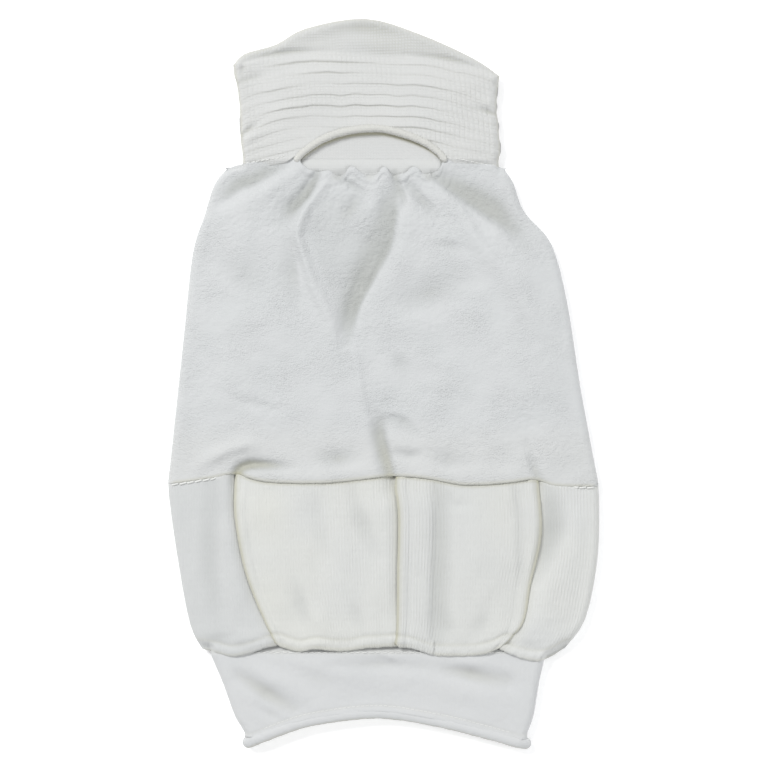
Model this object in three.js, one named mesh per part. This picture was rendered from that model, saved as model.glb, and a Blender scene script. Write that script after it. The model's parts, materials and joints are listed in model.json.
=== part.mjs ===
// Pull-over hooded smock of white knit and terry, lying flat on its back.
// Millimetres. +X is the garment's left-to-right as it is seen from above, +Y runs from hem to hood,
// +Z is up from the surface it lies on. The origin is under the middle of the garment, on that surface.
import * as THREE from "three";

// Driving dimensions.
const LENGTH = 682; // tip of the hood to the lowest corner of the rolled hem
const WIDTH = 402; // widest place, at the waist seam
const FABRIC = 4; // one layer of terry, rib knit or waffle knit, with its loft
const FRONT_BOTTOM = 16; // underside of the front layer, so the garment stays open inside
const GAP = 0.3; // clearance between sewn neighbours
const SEAM_WIDTH = 4.4; // an overlocked seam, seen from above
const EDGE_WIDTH = 5; // the folded cloth that closes the tube at each side
const NECK_FOLD_Y = 205; // the hood folds forward along this line
const HEM_FOLD_Y = -252.3; // the hem cuff turns up along this line
const RIM_RADIUS = 3.5; // rolled rim round the top of the face opening
const HEM_ROLL_RADIUS = 4; // rolled edge of the hem
const PLEAT_DEPTH = 24; // width of the cloth folded away behind each pleat
const SAMPLES = 4; // curve points per control point

const HALF_WIDTH = WIDTH / 2;
const HALF_LENGTH = LENGTH / 2;
const FRONT_TOP = FRONT_BOTTOM + FABRIC;
const EDGE_BOTTOM = FABRIC + GAP;
const EDGE_TOP = FRONT_BOTTOM - GAP;

// Materials.
const cloth = (color, roughness) => new THREE.MeshStandardMaterial({ color, roughness, metalness: 0 });
const TERRY = cloth(0xdcdfe0, 0.95);
const WAFFLE_KNIT = cloth(0xe6e6e1, 0.92);
const RIB_KNIT = cloth(0xe3e4df, 0.93);
const JERSEY = cloth(0xdfdfe0, 0.9);
const THREAD = cloth(0xeceee9, 0.8);
const ELASTIC = cloth(0xf0f0ea, 0.7);

// Curves.
const points = (pairs) => pairs.map(([x, y]) => new THREE.Vector2(x, y));

function smooth(pairs) {
  const control = points(pairs);
  return new THREE.SplineCurve(control).getPoints((control.length - 1) * SAMPLES);
}

// The same line moved sideways, to the left of its direction for a positive distance.
function offset(line, distance) {
  return line.map((p, i) => {
    const before = line[Math.max(i - 1, 0)];
    const after = line[Math.min(i + 1, line.length - 1)];
    const along = after.clone().sub(before).normalize();
    return new THREE.Vector2(p.x - along.y * distance, p.y + along.x * distance);
  });
}

const moved = (line, dx, dy) => line.map((p) => new THREE.Vector2(p.x + dx, p.y + dy));
const reversed = (line) => [...line].reverse();

// The stretch of a line between two values of one coordinate, which grows or falls all along the line.
function stretch(line, axis, from, to) {
  const rising = line[line.length - 1][axis] > line[0][axis];
  const ordered = rising ? line : reversed(line);
  const at = (value) => {
    const i = Math.max(1, ordered.findIndex((p) => p[axis] >= value));
    const share = (value - ordered[i - 1][axis]) / (ordered[i][axis] - ordered[i - 1][axis]);
    return ordered[i - 1].clone().lerp(ordered[i], share);
  };
  const inside = ordered.filter((p) => p[axis] > from + 0.5 && p[axis] < to - 0.5);
  return [at(from), ...inside, at(to)];
}

// Solids.
const smock = new THREE.Group();

function add(name, geometry, material) {
  const mesh = new THREE.Mesh(geometry, material);
  mesh.name = name;
  smock.add(mesh);
  return mesh;
}

// A flat piece of cloth with the given outline, between two heights.
function panel(name, outline, material, bottom = FRONT_BOTTOM, top = FRONT_TOP) {
  const shape = new THREE.Shape(outline);
  const geometry = new THREE.ExtrudeGeometry(shape, { depth: top - bottom, bevelEnabled: false });
  add(name, geometry, material).position.z = bottom;
}

// A strip of cloth or stitching along a line, reaching `left` and `right` of it.
function strip(name, line, left, right, material, bottom, top) {
  panel(name, [...offset(line, left), ...reversed(offset(line, -right))], material, bottom, top);
}

// A rolled edge: a round section carried along a line at one height.
function roll(name, line, radius, height, material) {
  const section = new THREE.Shape().absarc(0, 0, radius, 0, 2 * Math.PI);
  const path = new THREE.CatmullRomCurve3(line.map((p) => new THREE.Vector3(p.x, p.y, height)));
  const options = { steps: line.length, curveSegments: 5, extrudePath: path, bevelEnabled: false };
  add(name, new THREE.ExtrudeGeometry(section, options), material);
}

// Outlines of the tube, from the hood down. Left is -X.
const leftBody = smooth([[-145, 200], [-157, 187], [-167, 156], [-178, 120], [-187, 36], [-HALF_WIDTH, -94]]);
const rightBody = smooth([[112, 200], [121, 187], [131, 160], [156, 131], [171, 77], [184, -6], [HALF_WIDTH, -96]]);
const leftRib = smooth([[-HALF_WIDTH, -98], [-194, -150], [-181, -222], [-168, -248], [-162, -252]]);
const rightRib = smooth([[HALF_WIDTH, -100], [200, -160], [188, -220], [165, -250], [160, -252]]);
const leftHem = smooth([[-161, -253], [-149, -281], [-138, -311], [-127.5, -326]]);
const rightHem = smooth([[151, -253], [145, -279], [140, -309], [133, -330]]);
const leftHood = smooth([[-131, 206], [-133, 227], [-134.5, 260], [-140.5, 297]]);
const rightHood = smooth([[107.5, 206], [109, 221], [105.5, 262], [109, 287]]);
const dome = smooth([
  [-140.5, 297], [-129, 308.5], [-100, 317], [-72, 332], [-17, HALF_LENGTH], [33, 327], [84, 304], [109, 287],
]);

// Seams and edges that run across.
const waist = smooth([
  [-HALF_WIDTH, -96], [-160, -90], [-137, -86], [-110, -93], [-52, -94], [6, -88], [40, -90],
  [75, -96], [115, -94], [140, -91], [160, -97], [HALF_WIDTH, -98],
]);
const hemEdge = smooth([
  [-123, -335], [-90, -322], [-60, -314], [-5, -308], [50, -316], [95, -327], [129, 4 - HALF_LENGTH],
]);
const crownLine = smooth([[-138, 298], [-116, 303], [-66, 308], [0, 304], [38, 303], [80, 294.5], [106.5, 287]]);
const neckline = smooth([[-80, 198.5], [-66, 194.5], [-40, 191], [-10, 190], [25, 191], [46, 194], [58, 198.5]]);
const faceRim = smooth([[-80, 210.5], [-60, 225], [-36, 234], [-6, 237], [18, 232], [40, 223], [56, 210.5]]);

// Pleat creases of the rib-knit section.
const leftPleat = smooth([[-137, -85], [-138.5, -118], [-131, -165], [-120, -199], [-104, -235], [-96, -252]]);
const centrePleat = smooth([[8, -88], [13.5, -118], [13, -170], [12, -230], [8, -252]]);
const rightPleat = smooth([[144, -90], [147, -140], [137, -186], [131, -220], [118, -238], [104, -252]]);

const SEAM_HALF = SEAM_WIDTH / 2;
const NECK_SEAM_BOTTOM = NECK_FOLD_Y - 5;
const HEM_SEAM_TOP = HEM_FOLD_Y + 5;
const RIB_BOTTOM = HEM_SEAM_TOP + GAP;
const CASING_HALF = 4;

// Terry body.
function terryBody() {
  const above = moved(waist, 0, SEAM_HALF + GAP);
  const top = [
    new THREE.Vector2(-131, 200), new THREE.Vector2(-86, 200),
    ...offset(neckline, -(CASING_HALF + GAP)),
    new THREE.Vector2(64, 200), new THREE.Vector2(107, 200),
  ];
  panel("front_body_panel", [...reversed(leftBody.slice(0, -1)), ...top, ...rightBody.slice(0, -1), ...reversed(above)], TERRY);
  const backTop = points([[-131, 200], [107, 200]]);
  panel("back_body_panel",
    [...reversed(leftBody.slice(0, -1)), ...backTop, ...rightBody.slice(0, -1), ...reversed(above)], TERRY, 0, FABRIC);
  const closed = (line) => stretch(line, "y", -88, 199);
  strip("left_body_side_seam", closed(leftBody), 0, EDGE_WIDTH, TERRY, EDGE_BOTTOM, EDGE_TOP);
  strip("right_body_side_seam", closed(rightBody), EDGE_WIDTH, 0, TERRY, EDGE_BOTTOM, EDGE_TOP);
}

// Seams that join the body to the hood, and the gathered casing with its elastic under the face opening.
function neck() {
  const seamTop = NECK_FOLD_Y - GAP;
  const seamBottom = NECK_SEAM_BOTTOM + GAP;
  const seam = (name, from, to, bottom, top) => {
    panel(name, points([[from, seamBottom], [to, seamBottom], [to, seamTop], [from, seamTop]]), THREAD, bottom, top);
  };
  seam("left_shoulder_seam", -131, -87, FRONT_BOTTOM, FRONT_TOP + 1);
  seam("right_shoulder_seam", 65, 107, FRONT_BOTTOM, FRONT_TOP + 1);
  seam("back_neck_seam", -131, 107, 0, FABRIC);
  strip("neckline_casing", neckline, CASING_HALF, CASING_HALF, TERRY, FRONT_BOTTOM, FRONT_TOP + 2);
  strip("neckline_elastic", neckline, 3, 3, ELASTIC, FRONT_BOTTOM - 2, FRONT_BOTTOM - GAP);
}

// Rib-knit section below the waist: four front panels between three pleats, one back panel.
function ribSection() {
  strip("waist_seam_front", waist, SEAM_HALF, SEAM_HALF, THREAD, FRONT_BOTTOM, FRONT_TOP + 1);
  strip("waist_seam_back", waist, SEAM_HALF, SEAM_HALF, THREAD, 0, FABRIC);
  const below = moved(waist, 0, -(SEAM_HALF + GAP));
  const crossing = (line) => {
    const hit = below.reduce((best, p) => {
      const near = line.reduce((a, b) => (Math.abs(b.y - p.y) < Math.abs(a.y - p.y) ? b : a));
      return Math.abs(near.x - p.x) < best.far ? { far: Math.abs(near.x - p.x), x: near.x } : best;
    }, { far: Infinity, x: 0 });
    return hit.x;
  };
  const ribTop = (line) => below.reduce((a, b) => (Math.abs(b.x - line) < Math.abs(a.x - line) ? b : a)).y;
  const side = (line, dx) => moved(stretch(line, "y", RIB_BOTTOM, ribTop(crossing(line)) - 0.6), dx, 0);
  const between = (name, left, right) => {
    const a = side(left, GAP / 2);
    const b = side(right, -GAP / 2);
    const top = stretch(below, "x", a[a.length - 1].x + 0.6, b[b.length - 1].x - 0.6);
    panel(name, [...a, ...top, ...reversed(b)], RIB_KNIT);
  };
  between("left_rib_side_panel", leftRib, leftPleat);
  between("left_rib_centre_panel", leftPleat, centrePleat);
  between("right_rib_centre_panel", centrePleat, rightPleat);
  between("right_rib_side_panel", rightPleat, rightRib);
  const pleat = (name, line) => {
    const hidden = stretch(line, "y", RIB_BOTTOM, -100);
    const outline = [...moved(hidden, -PLEAT_DEPTH / 2, 0), ...reversed(moved(hidden, PLEAT_DEPTH / 2, 0))];
    panel(name, outline, RIB_KNIT, FRONT_BOTTOM - 3.5, FRONT_BOTTOM - GAP);
  };
  pleat("left_pleat_fold", leftPleat);
  pleat("centre_pleat_fold", centrePleat);
  pleat("right_pleat_fold", rightPleat);
  const backTop = stretch(below, "x", -HALF_WIDTH + 1, HALF_WIDTH - 1);
  const left = stretch(leftRib, "y", RIB_BOTTOM, backTop[0].y - 0.5);
  const right = stretch(rightRib, "y", RIB_BOTTOM, backTop[backTop.length - 1].y - 0.5);
  panel("rib_back_panel", [...left, ...backTop, ...reversed(right)], RIB_KNIT, 0, FABRIC);
  strip("left_rib_side_fold", left, 0, EDGE_WIDTH, RIB_KNIT, EDGE_BOTTOM, EDGE_TOP);
  strip("right_rib_side_fold", right, EDGE_WIDTH, 0, RIB_KNIT, EDGE_BOTTOM, EDGE_TOP);
  const hemSeam = points([[-159, HEM_FOLD_Y + GAP], [156, HEM_FOLD_Y + GAP], [156, HEM_SEAM_TOP], [-159, HEM_SEAM_TOP]]);
  panel("hem_seam_front", hemSeam, THREAD, FRONT_BOTTOM, FRONT_TOP + 1);
  panel("hem_seam_back", hemSeam, THREAD, 0, FABRIC);
}

// Hem cuff: a jersey band with a rolled edge.
function hemCuff() {
  const above = offset(hemEdge, HEM_ROLL_RADIUS + GAP);
  const outline = [...leftHem.slice(0, -1), ...above, ...reversed(rightHem.slice(0, -1))];
  panel("hem_front_band", outline, JERSEY);
  panel("hem_back_band", outline, JERSEY, 0, FABRIC);
  strip("hem_left_edge", leftHem.slice(0, -2), EDGE_WIDTH, 0, JERSEY, EDGE_BOTTOM, EDGE_TOP);
  strip("hem_right_edge", rightHem.slice(0, -2), 0, EDGE_WIDTH, JERSEY, EDGE_BOTTOM, EDGE_TOP);
  roll("hem_front_roll", hemEdge, HEM_ROLL_RADIUS, FRONT_BOTTOM + HEM_ROLL_RADIUS - 0.5, JERSEY);
  roll("hem_back_roll", hemEdge, HEM_ROLL_RADIUS, HEM_ROLL_RADIUS, JERSEY);
}

// Hood: a shirred waffle-knit band with a face opening under it, a domed crown and a back.
function hood() {
  const archTop = offset(faceRim, RIM_RADIUS + GAP + 0.2);
  const bottomY = NECK_FOLD_Y + 0.6;
  const arch = [new THREE.Vector2(-86, bottomY), ...archTop, new THREE.Vector2(62, bottomY)];
  const bandTop = moved(crownLine, 0, -GAP);
  panel("hood_front_band", [...reversed(arch), ...leftHood.slice(0, -1), ...bandTop, ...reversed(rightHood.slice(0, -1))],
    WAFFLE_KNIT);
  const crownTop = stretch(dome, "x", -136, 106.5);
  panel("hood_crown", [...crownTop, ...reversed(stretch(moved(crownLine, 0, GAP), "x", -133, 104))],
    WAFFLE_KNIT, FRONT_BOTTOM - FABRIC, FRONT_BOTTOM);
  panel("hood_back_panel", [...leftHood.slice(0, -1), ...dome, ...reversed(rightHood.slice(0, -1))],
    WAFFLE_KNIT, 0, FABRIC);
  strip("hood_left_edge", leftHood.slice(0, -2), 0, EDGE_WIDTH, WAFFLE_KNIT, EDGE_BOTTOM, EDGE_TOP);
  strip("hood_right_edge", rightHood.slice(0, -2), EDGE_WIDTH, 0, WAFFLE_KNIT, EDGE_BOTTOM, EDGE_TOP);
  strip("hood_crown_edge", stretch(dome, "x", -125, 98), 0, EDGE_WIDTH, WAFFLE_KNIT, EDGE_BOTTOM,
    FRONT_BOTTOM - FABRIC - GAP);
  roll("face_opening_rim", faceRim, RIM_RADIUS, FRONT_BOTTOM + RIM_RADIUS, WAFFLE_KNIT);
}

terryBody();
neck();
ribSection();
hemCuff();
hood();

export default smock;
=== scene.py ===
"""Looks of a hooded knit smock that lies flat on its back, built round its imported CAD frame.

Lengths are millimetres until a mesh is made, and metres after that. +X is the garment's left to right as seen
from above, +Y runs from the hem to the hood, +Z is up from the table.
"""
import json
import math

import bpy
import numpy as np
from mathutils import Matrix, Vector
from mathutils.bvhtree import BVHTree


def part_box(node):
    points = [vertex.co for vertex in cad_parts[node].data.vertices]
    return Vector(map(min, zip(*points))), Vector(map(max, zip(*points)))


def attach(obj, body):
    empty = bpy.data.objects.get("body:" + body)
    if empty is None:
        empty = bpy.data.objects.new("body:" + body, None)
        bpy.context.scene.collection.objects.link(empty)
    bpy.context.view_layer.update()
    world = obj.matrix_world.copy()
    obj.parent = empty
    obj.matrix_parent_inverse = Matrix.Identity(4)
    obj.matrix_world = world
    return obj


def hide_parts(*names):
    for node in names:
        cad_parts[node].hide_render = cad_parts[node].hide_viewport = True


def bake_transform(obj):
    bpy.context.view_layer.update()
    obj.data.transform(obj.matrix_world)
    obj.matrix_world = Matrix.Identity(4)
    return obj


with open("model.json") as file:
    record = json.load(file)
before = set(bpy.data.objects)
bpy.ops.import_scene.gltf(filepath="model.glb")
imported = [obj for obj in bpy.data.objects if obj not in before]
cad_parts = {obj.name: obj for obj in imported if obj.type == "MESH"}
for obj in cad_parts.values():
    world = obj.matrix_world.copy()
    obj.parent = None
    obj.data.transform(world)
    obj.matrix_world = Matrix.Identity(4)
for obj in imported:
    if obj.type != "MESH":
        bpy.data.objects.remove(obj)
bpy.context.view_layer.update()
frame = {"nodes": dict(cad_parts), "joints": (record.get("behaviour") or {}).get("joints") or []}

MM = 0.001

# ---- Sizes ----
EDGE_RADIUS = 7.4  # half the thickness of the garment at its side folds
BODY_ACROSS, BODY_ALONG = 350, 295  # lengths over which the layers' grids are spaced
HOOD_ACROSS, HOOD_ALONG = 246, 110
RIB_ACROSS = 385
RISE = 50.0  # how far in from the edge the front layer takes to reach its full height
LAYER_TERRY = 2.8
LAYER_WAFFLE = 2.4
LAYER_RIB = 2.4
LAYER_JERSEY = 2.0
RIB_PITCH = 3.0
ROW_PITCH = 9.8  # shirred rows of the hood
CELL_WIDTH = 4.5  # waffle cells across a row
CROWN_CELL = 2.8
GAP_WIDTH, CROWN_GAP = 0.62, 0.5  # of the gaps between waffle cells
FLOOR_GAP = 0.05  # nothing lies lower than this over the table
COARSE = 4  # the unseen inner face of a layer has one vertex for this many of the outer face


def top_of(node):
    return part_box(node)[1].z / MM


def half_height(node):
    low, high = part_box(node)
    return (high.z - low.z) / MM / 2


FRONT = top_of("front_body_panel")
NECK_FOLD = next(j for j in frame["joints"] if j["name"] == "hood_fold")["pos_m"][1] / MM
HEM_FOLD = next(j for j in frame["joints"] if j["name"] == "hem_turn_up")["pos_m"][1] / MM


# ---- Numbers and noise ----
def smooth(t):
    t = np.clip(t, 0.0, 1.0)
    return t * t * (3 - 2 * t)


def between(x, low, high, soft):
    """1 between low and high, falling to 0 over `soft` outside them."""
    return smooth((x - low + soft) / soft) * smooth((high + soft - x) / soft)


def bell(away, width):
    """A bump that is 1 at 0 and dies away over `width` on both sides."""
    return np.exp(-((away / width) ** 2))


def lattice(i, j, seed):
    """A fixed pseudo-random number from 0 to 1 for each lattice point."""
    n = (i * 374761393 + j * 668265263 + seed * 2147483647) & 0xFFFFFFFF
    n = ((n ^ (n >> 13)) * 1274126177) & 0xFFFFFFFF
    return ((n ^ (n >> 16)) & 0xFFFF) / 65535.0


def noise(x, y, seed):
    """Smooth noise from -1 to 1 with one feature for each unit of x and y."""
    i, j = np.floor(x).astype(np.int64), np.floor(y).astype(np.int64)
    a, b = smooth(x - i), smooth(y - j)
    low = lattice(i, j, seed) * (1 - a) + lattice(i + 1, j, seed) * a
    high = lattice(i, j + 1, seed) * (1 - a) + lattice(i + 1, j + 1, seed) * a
    return 2 * (low * (1 - b) + high * b) - 1


def fractal(x, y, seed, octaves=3):
    total, size = 0.0, 1.0
    for k in range(octaves):
        total = total + size * noise(x * 2**k, y * 2**k, seed + 17 * k)
        size *= 0.5
    return total


def curve(points, per_span=8):
    """A smooth line through the points (Catmull-Rom)."""
    p = np.array(points, float)
    p = np.vstack([2 * p[0] - p[1], p, 2 * p[-1] - p[-2]])
    t = np.linspace(0, 1, per_span, endpoint=False)[:, None]
    spans = []
    for k in range(1, len(p) - 2):
        a, b, c, d = p[k - 1], p[k], p[k + 1], p[k + 2]
        spans.append(0.5 * (2 * b + (c - a) * t + (2 * a - 5 * b + 4 * c - d) * t**2
                            + (3 * b - a - 3 * c + d) * t**3))
    return np.vstack(spans + [p[-2][None]])


def from_line(line, x, y):
    """Signed distance from a line, positive on its left, and the share of the way along it."""
    best = np.full(x.shape, 1e9)
    side = np.zeros(x.shape)
    share = np.zeros(x.shape)
    lengths = np.hypot(*np.diff(line, axis=0).T)
    start, total = np.concatenate([[0], np.cumsum(lengths)]), lengths.sum()
    for k in range(len(line) - 1):
        (ax, ay), (bx, by) = line[k], line[k + 1]
        dx, dy = bx - ax, by - ay
        t = np.clip(((x - ax) * dx + (y - ay) * dy) / max(dx * dx + dy * dy, 1e-9), 0, 1)
        px, py = x - ax - t * dx, y - ay - t * dy
        d = np.hypot(px, py)
        near = d < best
        best = np.where(near, d, best)
        side = np.where(near, np.sign(dx * py - dy * px), side)
        share = np.where(near, (start[k] + t * lengths[k]) / total, share)
    return best * side, share


def fold(x, y, points, height, left, right=None):
    """A ridge or valley along a line. Its height and its widths on either side may be lists along it."""
    right = left if right is None else right
    signed, share = from_line(curve(points), x, y)

    def at(value):
        value = np.atleast_1d(np.array(value, float))
        return np.interp(share, np.linspace(0, 1, len(value)), value)

    width = np.where(signed > 0, at(left), at(right))
    return at(height) * bell(signed, width)


# ---- Outlines, read off the CAD plates ----
def outline(node):
    """The edge of a CAD plate's top face, as pairs of neighbouring points."""
    mesh = frame["nodes"][node].data
    co = np.array([v.co for v in mesh.vertices]) / MM
    top = co[:, 2].max() - 0.05
    used = {}
    for face in mesh.polygons:
        if min(co[v][2] for v in face.vertices) < top:
            continue
        ring = [tuple(np.round(co[v][:2], 2)) for v in face.vertices]
        for a, b in zip(ring, ring[1:] + ring[:1]):
            used[(a, b)] = True
    return [(a, b) for a, b in used if (b, a) not in used]


OUTLINES = {}


def span(node, value, axis):
    """Where the line at that value of one axis (0 for x, 1 for y) enters and leaves a CAD plate."""
    if node not in OUTLINES:
        OUTLINES[node] = outline(node)
    low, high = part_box(node)
    value = min(max(value, low[axis] / MM + 0.02), high[axis] / MM - 0.02)
    hits = []
    for a, b in OUTLINES[node]:
        if (a[axis] - value) * (b[axis] - value) <= 0 and a[axis] != b[axis]:
            t = (value - a[axis]) / (b[axis] - a[axis])
            hits.append(a[1 - axis] + t * (b[1 - axis] - a[1 - axis]))
    return min(hits), max(hits)


def sides_of(node, values, axis, side):
    return np.array([span(node, v, axis)[side] for v in values])


def side_table(node, low, high, side, steps=60):
    """A table of the x of one side of a CAD plate for y from low to high."""
    ys = np.linspace(low, high, steps)
    return ys, sides_of(node, ys, 1, side)


def edge_line(table, low, high, count):
    ys = np.linspace(low, high, count)
    return np.stack([np.interp(ys, *table), ys], 1)


# ---- Sheets ----
def spaced(length, step, dense_start=0.0, dense_end=0.0):
    """Shares of a length, a step apart, and closer together towards an end that is rounded over."""
    def rounded(radius):
        return radius * (1 - np.cos(np.linspace(0, math.pi / 2, 7))) if radius else np.array([0.0])

    start, end = rounded(dense_start), length - rounded(dense_end)[::-1]
    count = max(2, int(round((end[0] - start[-1]) / step)) + 1)
    middle = np.linspace(start[-1], end[0], count)
    return np.concatenate([start[:-1], middle, end[1:]]) / length


def patch(left, right, bottom, top, us, vs):
    """A grid between four lines of points. left and right run up; bottom and top run to the right."""
    def along_x(line, shares):
        want = line[0, 0] + shares * (line[-1, 0] - line[0, 0])
        return np.stack([want, np.interp(want, line[:, 0], line[:, 1])], 1)

    def along_y(line, shares):
        want = line[0, 1] + shares * (line[-1, 1] - line[0, 1])
        return np.stack([np.interp(want, line[:, 1], line[:, 0]), want], 1)

    b, t = along_x(bottom, us)[None], along_x(top, us)[None]
    l, r = along_y(left, vs)[:, None], along_y(right, vs)[:, None]
    u, v = us[None, :, None], vs[:, None, None]
    corners = (1 - u) * (1 - v) * b[:, :1] + u * (1 - v) * b[:, -1:] + (1 - u) * v * t[:, :1] + u * v * t[:,
        -1:]
    grid = (1 - v) * b + v * t + (1 - u) * l + u * r - corners
    return grid[..., 0], grid[..., 1]


def lip(points, side, radius, turn=100, steps=6):
    """Rolls one edge of a grid of points under: outward and down round a small radius."""
    rows = {"bottom": points, "top": points[::-1], "left": points.swapaxes(0, 1),
            "right": points.swapaxes(0, 1)[::-1]}[side]
    out = rows[0] - rows[3]
    out[:, 2] = 0
    out /= np.maximum(np.linalg.norm(out, axis=1, keepdims=True), 1e-9)
    # The roll is smaller towards its two ends.
    place = np.arange(len(out))
    size = radius * (0.15 + 0.85 * smooth(np.minimum(place, place[::-1]) / 8))[:, None]
    added = []
    for angle in np.radians(np.linspace(turn, 0, steps, endpoint=False)):
        added.append(rows[0] + size * math.sin(angle) * out - size * np.array([0, 0, 1 - math.cos(angle)]))
    rows = np.concatenate([np.array(added), rows])
    return {"bottom": rows, "top": rows[::-1], "left": rows.swapaxes(0, 1),
            "right": rows[::-1].swapaxes(0, 1)}[side]


def normals(points):
    along_u = np.gradient(points, axis=1)
    along_v = np.gradient(points, axis=0)
    n = np.cross(along_u, along_v)
    return n / np.maximum(np.linalg.norm(n, axis=2, keepdims=True), 1e-9)


def set_in(points, depth):
    """Moves the points of a layer that faces down inward along its normal."""
    return points + normals(points) * depth[..., None]


def picked(count, coarse):
    """Every coarse-th index, with the last one."""
    found = list(range(0, count - 1, coarse))
    return found + [count - 1]


def sheet_mesh(name, points, thickness, material, masks=None, relief=None, flip=False, coarse=COARSE,
               lining=None):
    """A closed layer of cloth. `points` is its smooth shown face, and relief is added along the normal.

    The other face lies `thickness` behind, with fewer vertices. It takes masks from `lining` where it can.
    flip is for a layer whose shown face looks down.
    """
    n = normals(points) * (-1 if flip else 1)
    shown = points if relief is None else points + n * relief[..., None]
    rows, cols = points.shape[:2]
    jr, ir = picked(rows, coarse), picked(cols, coarse)
    hidden = (points - n * thickness)[np.ix_(jr, ir)]
    first = rows * cols
    width = len(ir)

    def outer(j, i):
        return j * cols + i

    def inner(j, i):
        return first + j * width + i

    faces = []
    jj, ii = np.meshgrid(np.arange(rows - 1), np.arange(cols - 1), indexing="ij")
    quads = np.stack([outer(jj, ii), outer(jj, ii + 1), outer(jj + 1, ii + 1), outer(jj + 1, ii)],
                     -1).reshape(-1, 4)
    faces += quads.tolist()
    jj, ii = np.meshgrid(np.arange(len(jr) - 1), np.arange(width - 1), indexing="ij")
    quads = np.stack([inner(jj, ii), inner(jj + 1, ii), inner(jj + 1, ii + 1), inner(jj, ii + 1)],
                     -1).reshape(-1, 4)
    faces += quads.tolist()
    for k in range(width - 1):
        a, b = ir[k], ir[k + 1]
        faces.append([outer(0, i) for i in range(b, a - 1, -1)] + [inner(0, k), inner(0, k + 1)])
        faces.append([outer(rows - 1, i) for i in range(a, b + 1)]
                     + [inner(len(jr) - 1, k + 1), inner(len(jr) - 1, k)])
    for k in range(len(jr) - 1):
        a, b = jr[k], jr[k + 1]
        faces.append([outer(j, 0) for j in range(a, b + 1)] + [inner(k + 1, 0), inner(k, 0)])
        faces.append([outer(j, cols - 1) for j in range(b, a - 1, -1)]
                     + [inner(k, width - 1), inner(k + 1, width - 1)])
    if flip:
        faces = [f[::-1] for f in faces]
    co = np.concatenate([shown.reshape(-1, 3), hidden.reshape(-1, 3)])
    co[:, 2] = np.maximum(co[:, 2], FLOOR_GAP)
    extra = {}
    for key, value in (masks or {}).items():
        full = np.broadcast_to(value, (rows, cols))
        behind = np.broadcast_to((lining or {}).get(key, value), (rows, cols))
        extra[key] = np.concatenate([full.reshape(-1), behind[np.ix_(jr, ir)].reshape(-1)])
    return make_object(name, co, faces, material, extra)


def make_object(name, co, faces, material, masks=None):
    """A mesh object from points in millimetres, with its flat coordinates as UVs and masks as attributes."""
    mesh = bpy.data.meshes.new(name)
    mesh.from_pydata((co * MM).tolist(), [], faces)
    for key, value in (masks or {}).items():
        layer = mesh.attributes.new(key, "FLOAT", "POINT")
        layer.data.foreach_set("value", np.broadcast_to(value, len(co)).astype(np.float32))
    uv = mesh.uv_layers.new(name="flat")
    loops = np.zeros(len(mesh.loops), np.int32)
    mesh.loops.foreach_get("vertex_index", loops)
    uv.data.foreach_set("uv", (co[loops, :2] * MM).astype(np.float32).ravel())
    mesh.polygons.foreach_set("use_smooth", [True] * len(mesh.polygons))
    mesh.materials.append(material)
    mesh.validate()
    mesh.update()
    obj = bpy.data.objects.new(name, mesh)
    bpy.context.scene.collection.objects.link(obj)
    return obj


def tube(line, radius, sides=14, flat=1.0, ends=5, bumps=None):
    """Points and faces of a rounded cord along a line. radius may vary along it; flat squeezes it in z."""
    line = np.array(line, float)
    radius = np.broadcast_to(np.array(radius, float), (len(line),))
    tangent = np.gradient(line, axis=0)
    tangent /= np.linalg.norm(tangent, axis=1, keepdims=True)
    angles = np.radians(np.linspace(90 / ends, 90, ends))
    head = [(line[0] - tangent[0] * radius[0] * math.cos(a), tangent[0], radius[0] * math.sin(a))
            for a in angles[:-1]]
    tail = [(line[-1] + tangent[-1] * radius[-1] * math.cos(a), tangent[-1], radius[-1] * math.sin(a))
            for a in angles[:-1][::-1]]
    rings = head + list(zip(line, tangent, radius)) + tail
    turn = np.linspace(0, 2 * math.pi, sides, endpoint=False)
    co = []
    for k, (centre, along, r) in enumerate(rings):
        across = np.cross(along, [0, 0, 1.0])
        across /= np.linalg.norm(across)
        up = np.cross(across, along)
        share = k / (len(rings) - 1)
        size = r if bumps is None else r * (1 + bumps(share * len(rings), turn))
        co.append(centre + (np.cos(turn) * size)[:, None] * across + (np.sin(turn) * size * flat)[:, None]
                  * up)
    co = np.vstack(co + [rings[0][0][None] - tangent[0] * radius[0] * 0.04,
                         rings[-1][0][None] + tangent[-1] * radius[-1] * 0.04])
    faces = []
    for k in range(len(rings) - 1):
        for s in range(sides):
            a, b = k * sides + s, k * sides + (s + 1) % sides
            faces.append([a, b, b + sides, a + sides])
    first, last = len(rings) * sides, len(rings) * sides + 1
    for s in range(sides):
        faces.append([first, (s + 1) % sides, s])
        faces.append([last, (len(rings) - 1) * sides + s, (len(rings) - 1) * sides + (s + 1) % sides])
    return co, faces


def joined(parts):
    """One set of points and faces from several."""
    co, faces, base = [], [], 0
    for points, polygons in parts:
        co.append(points)
        faces += [[v + base for v in f] for f in polygons]
        base += len(points)
    return np.vstack(co), faces


# ---- Materials ----
ONE_WAVE = 0.3183  # scale of the wave texture at which a unit of its vector holds one wave
# Colours of painted shade: olive for creases, grooves and undersides, grey for fold valleys.
CREASE_SHADE_TINT = (0.42, 0.405, 0.285, 1)
SHADE_TINT = (0.36, 0.375, 0.37, 1)


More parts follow.
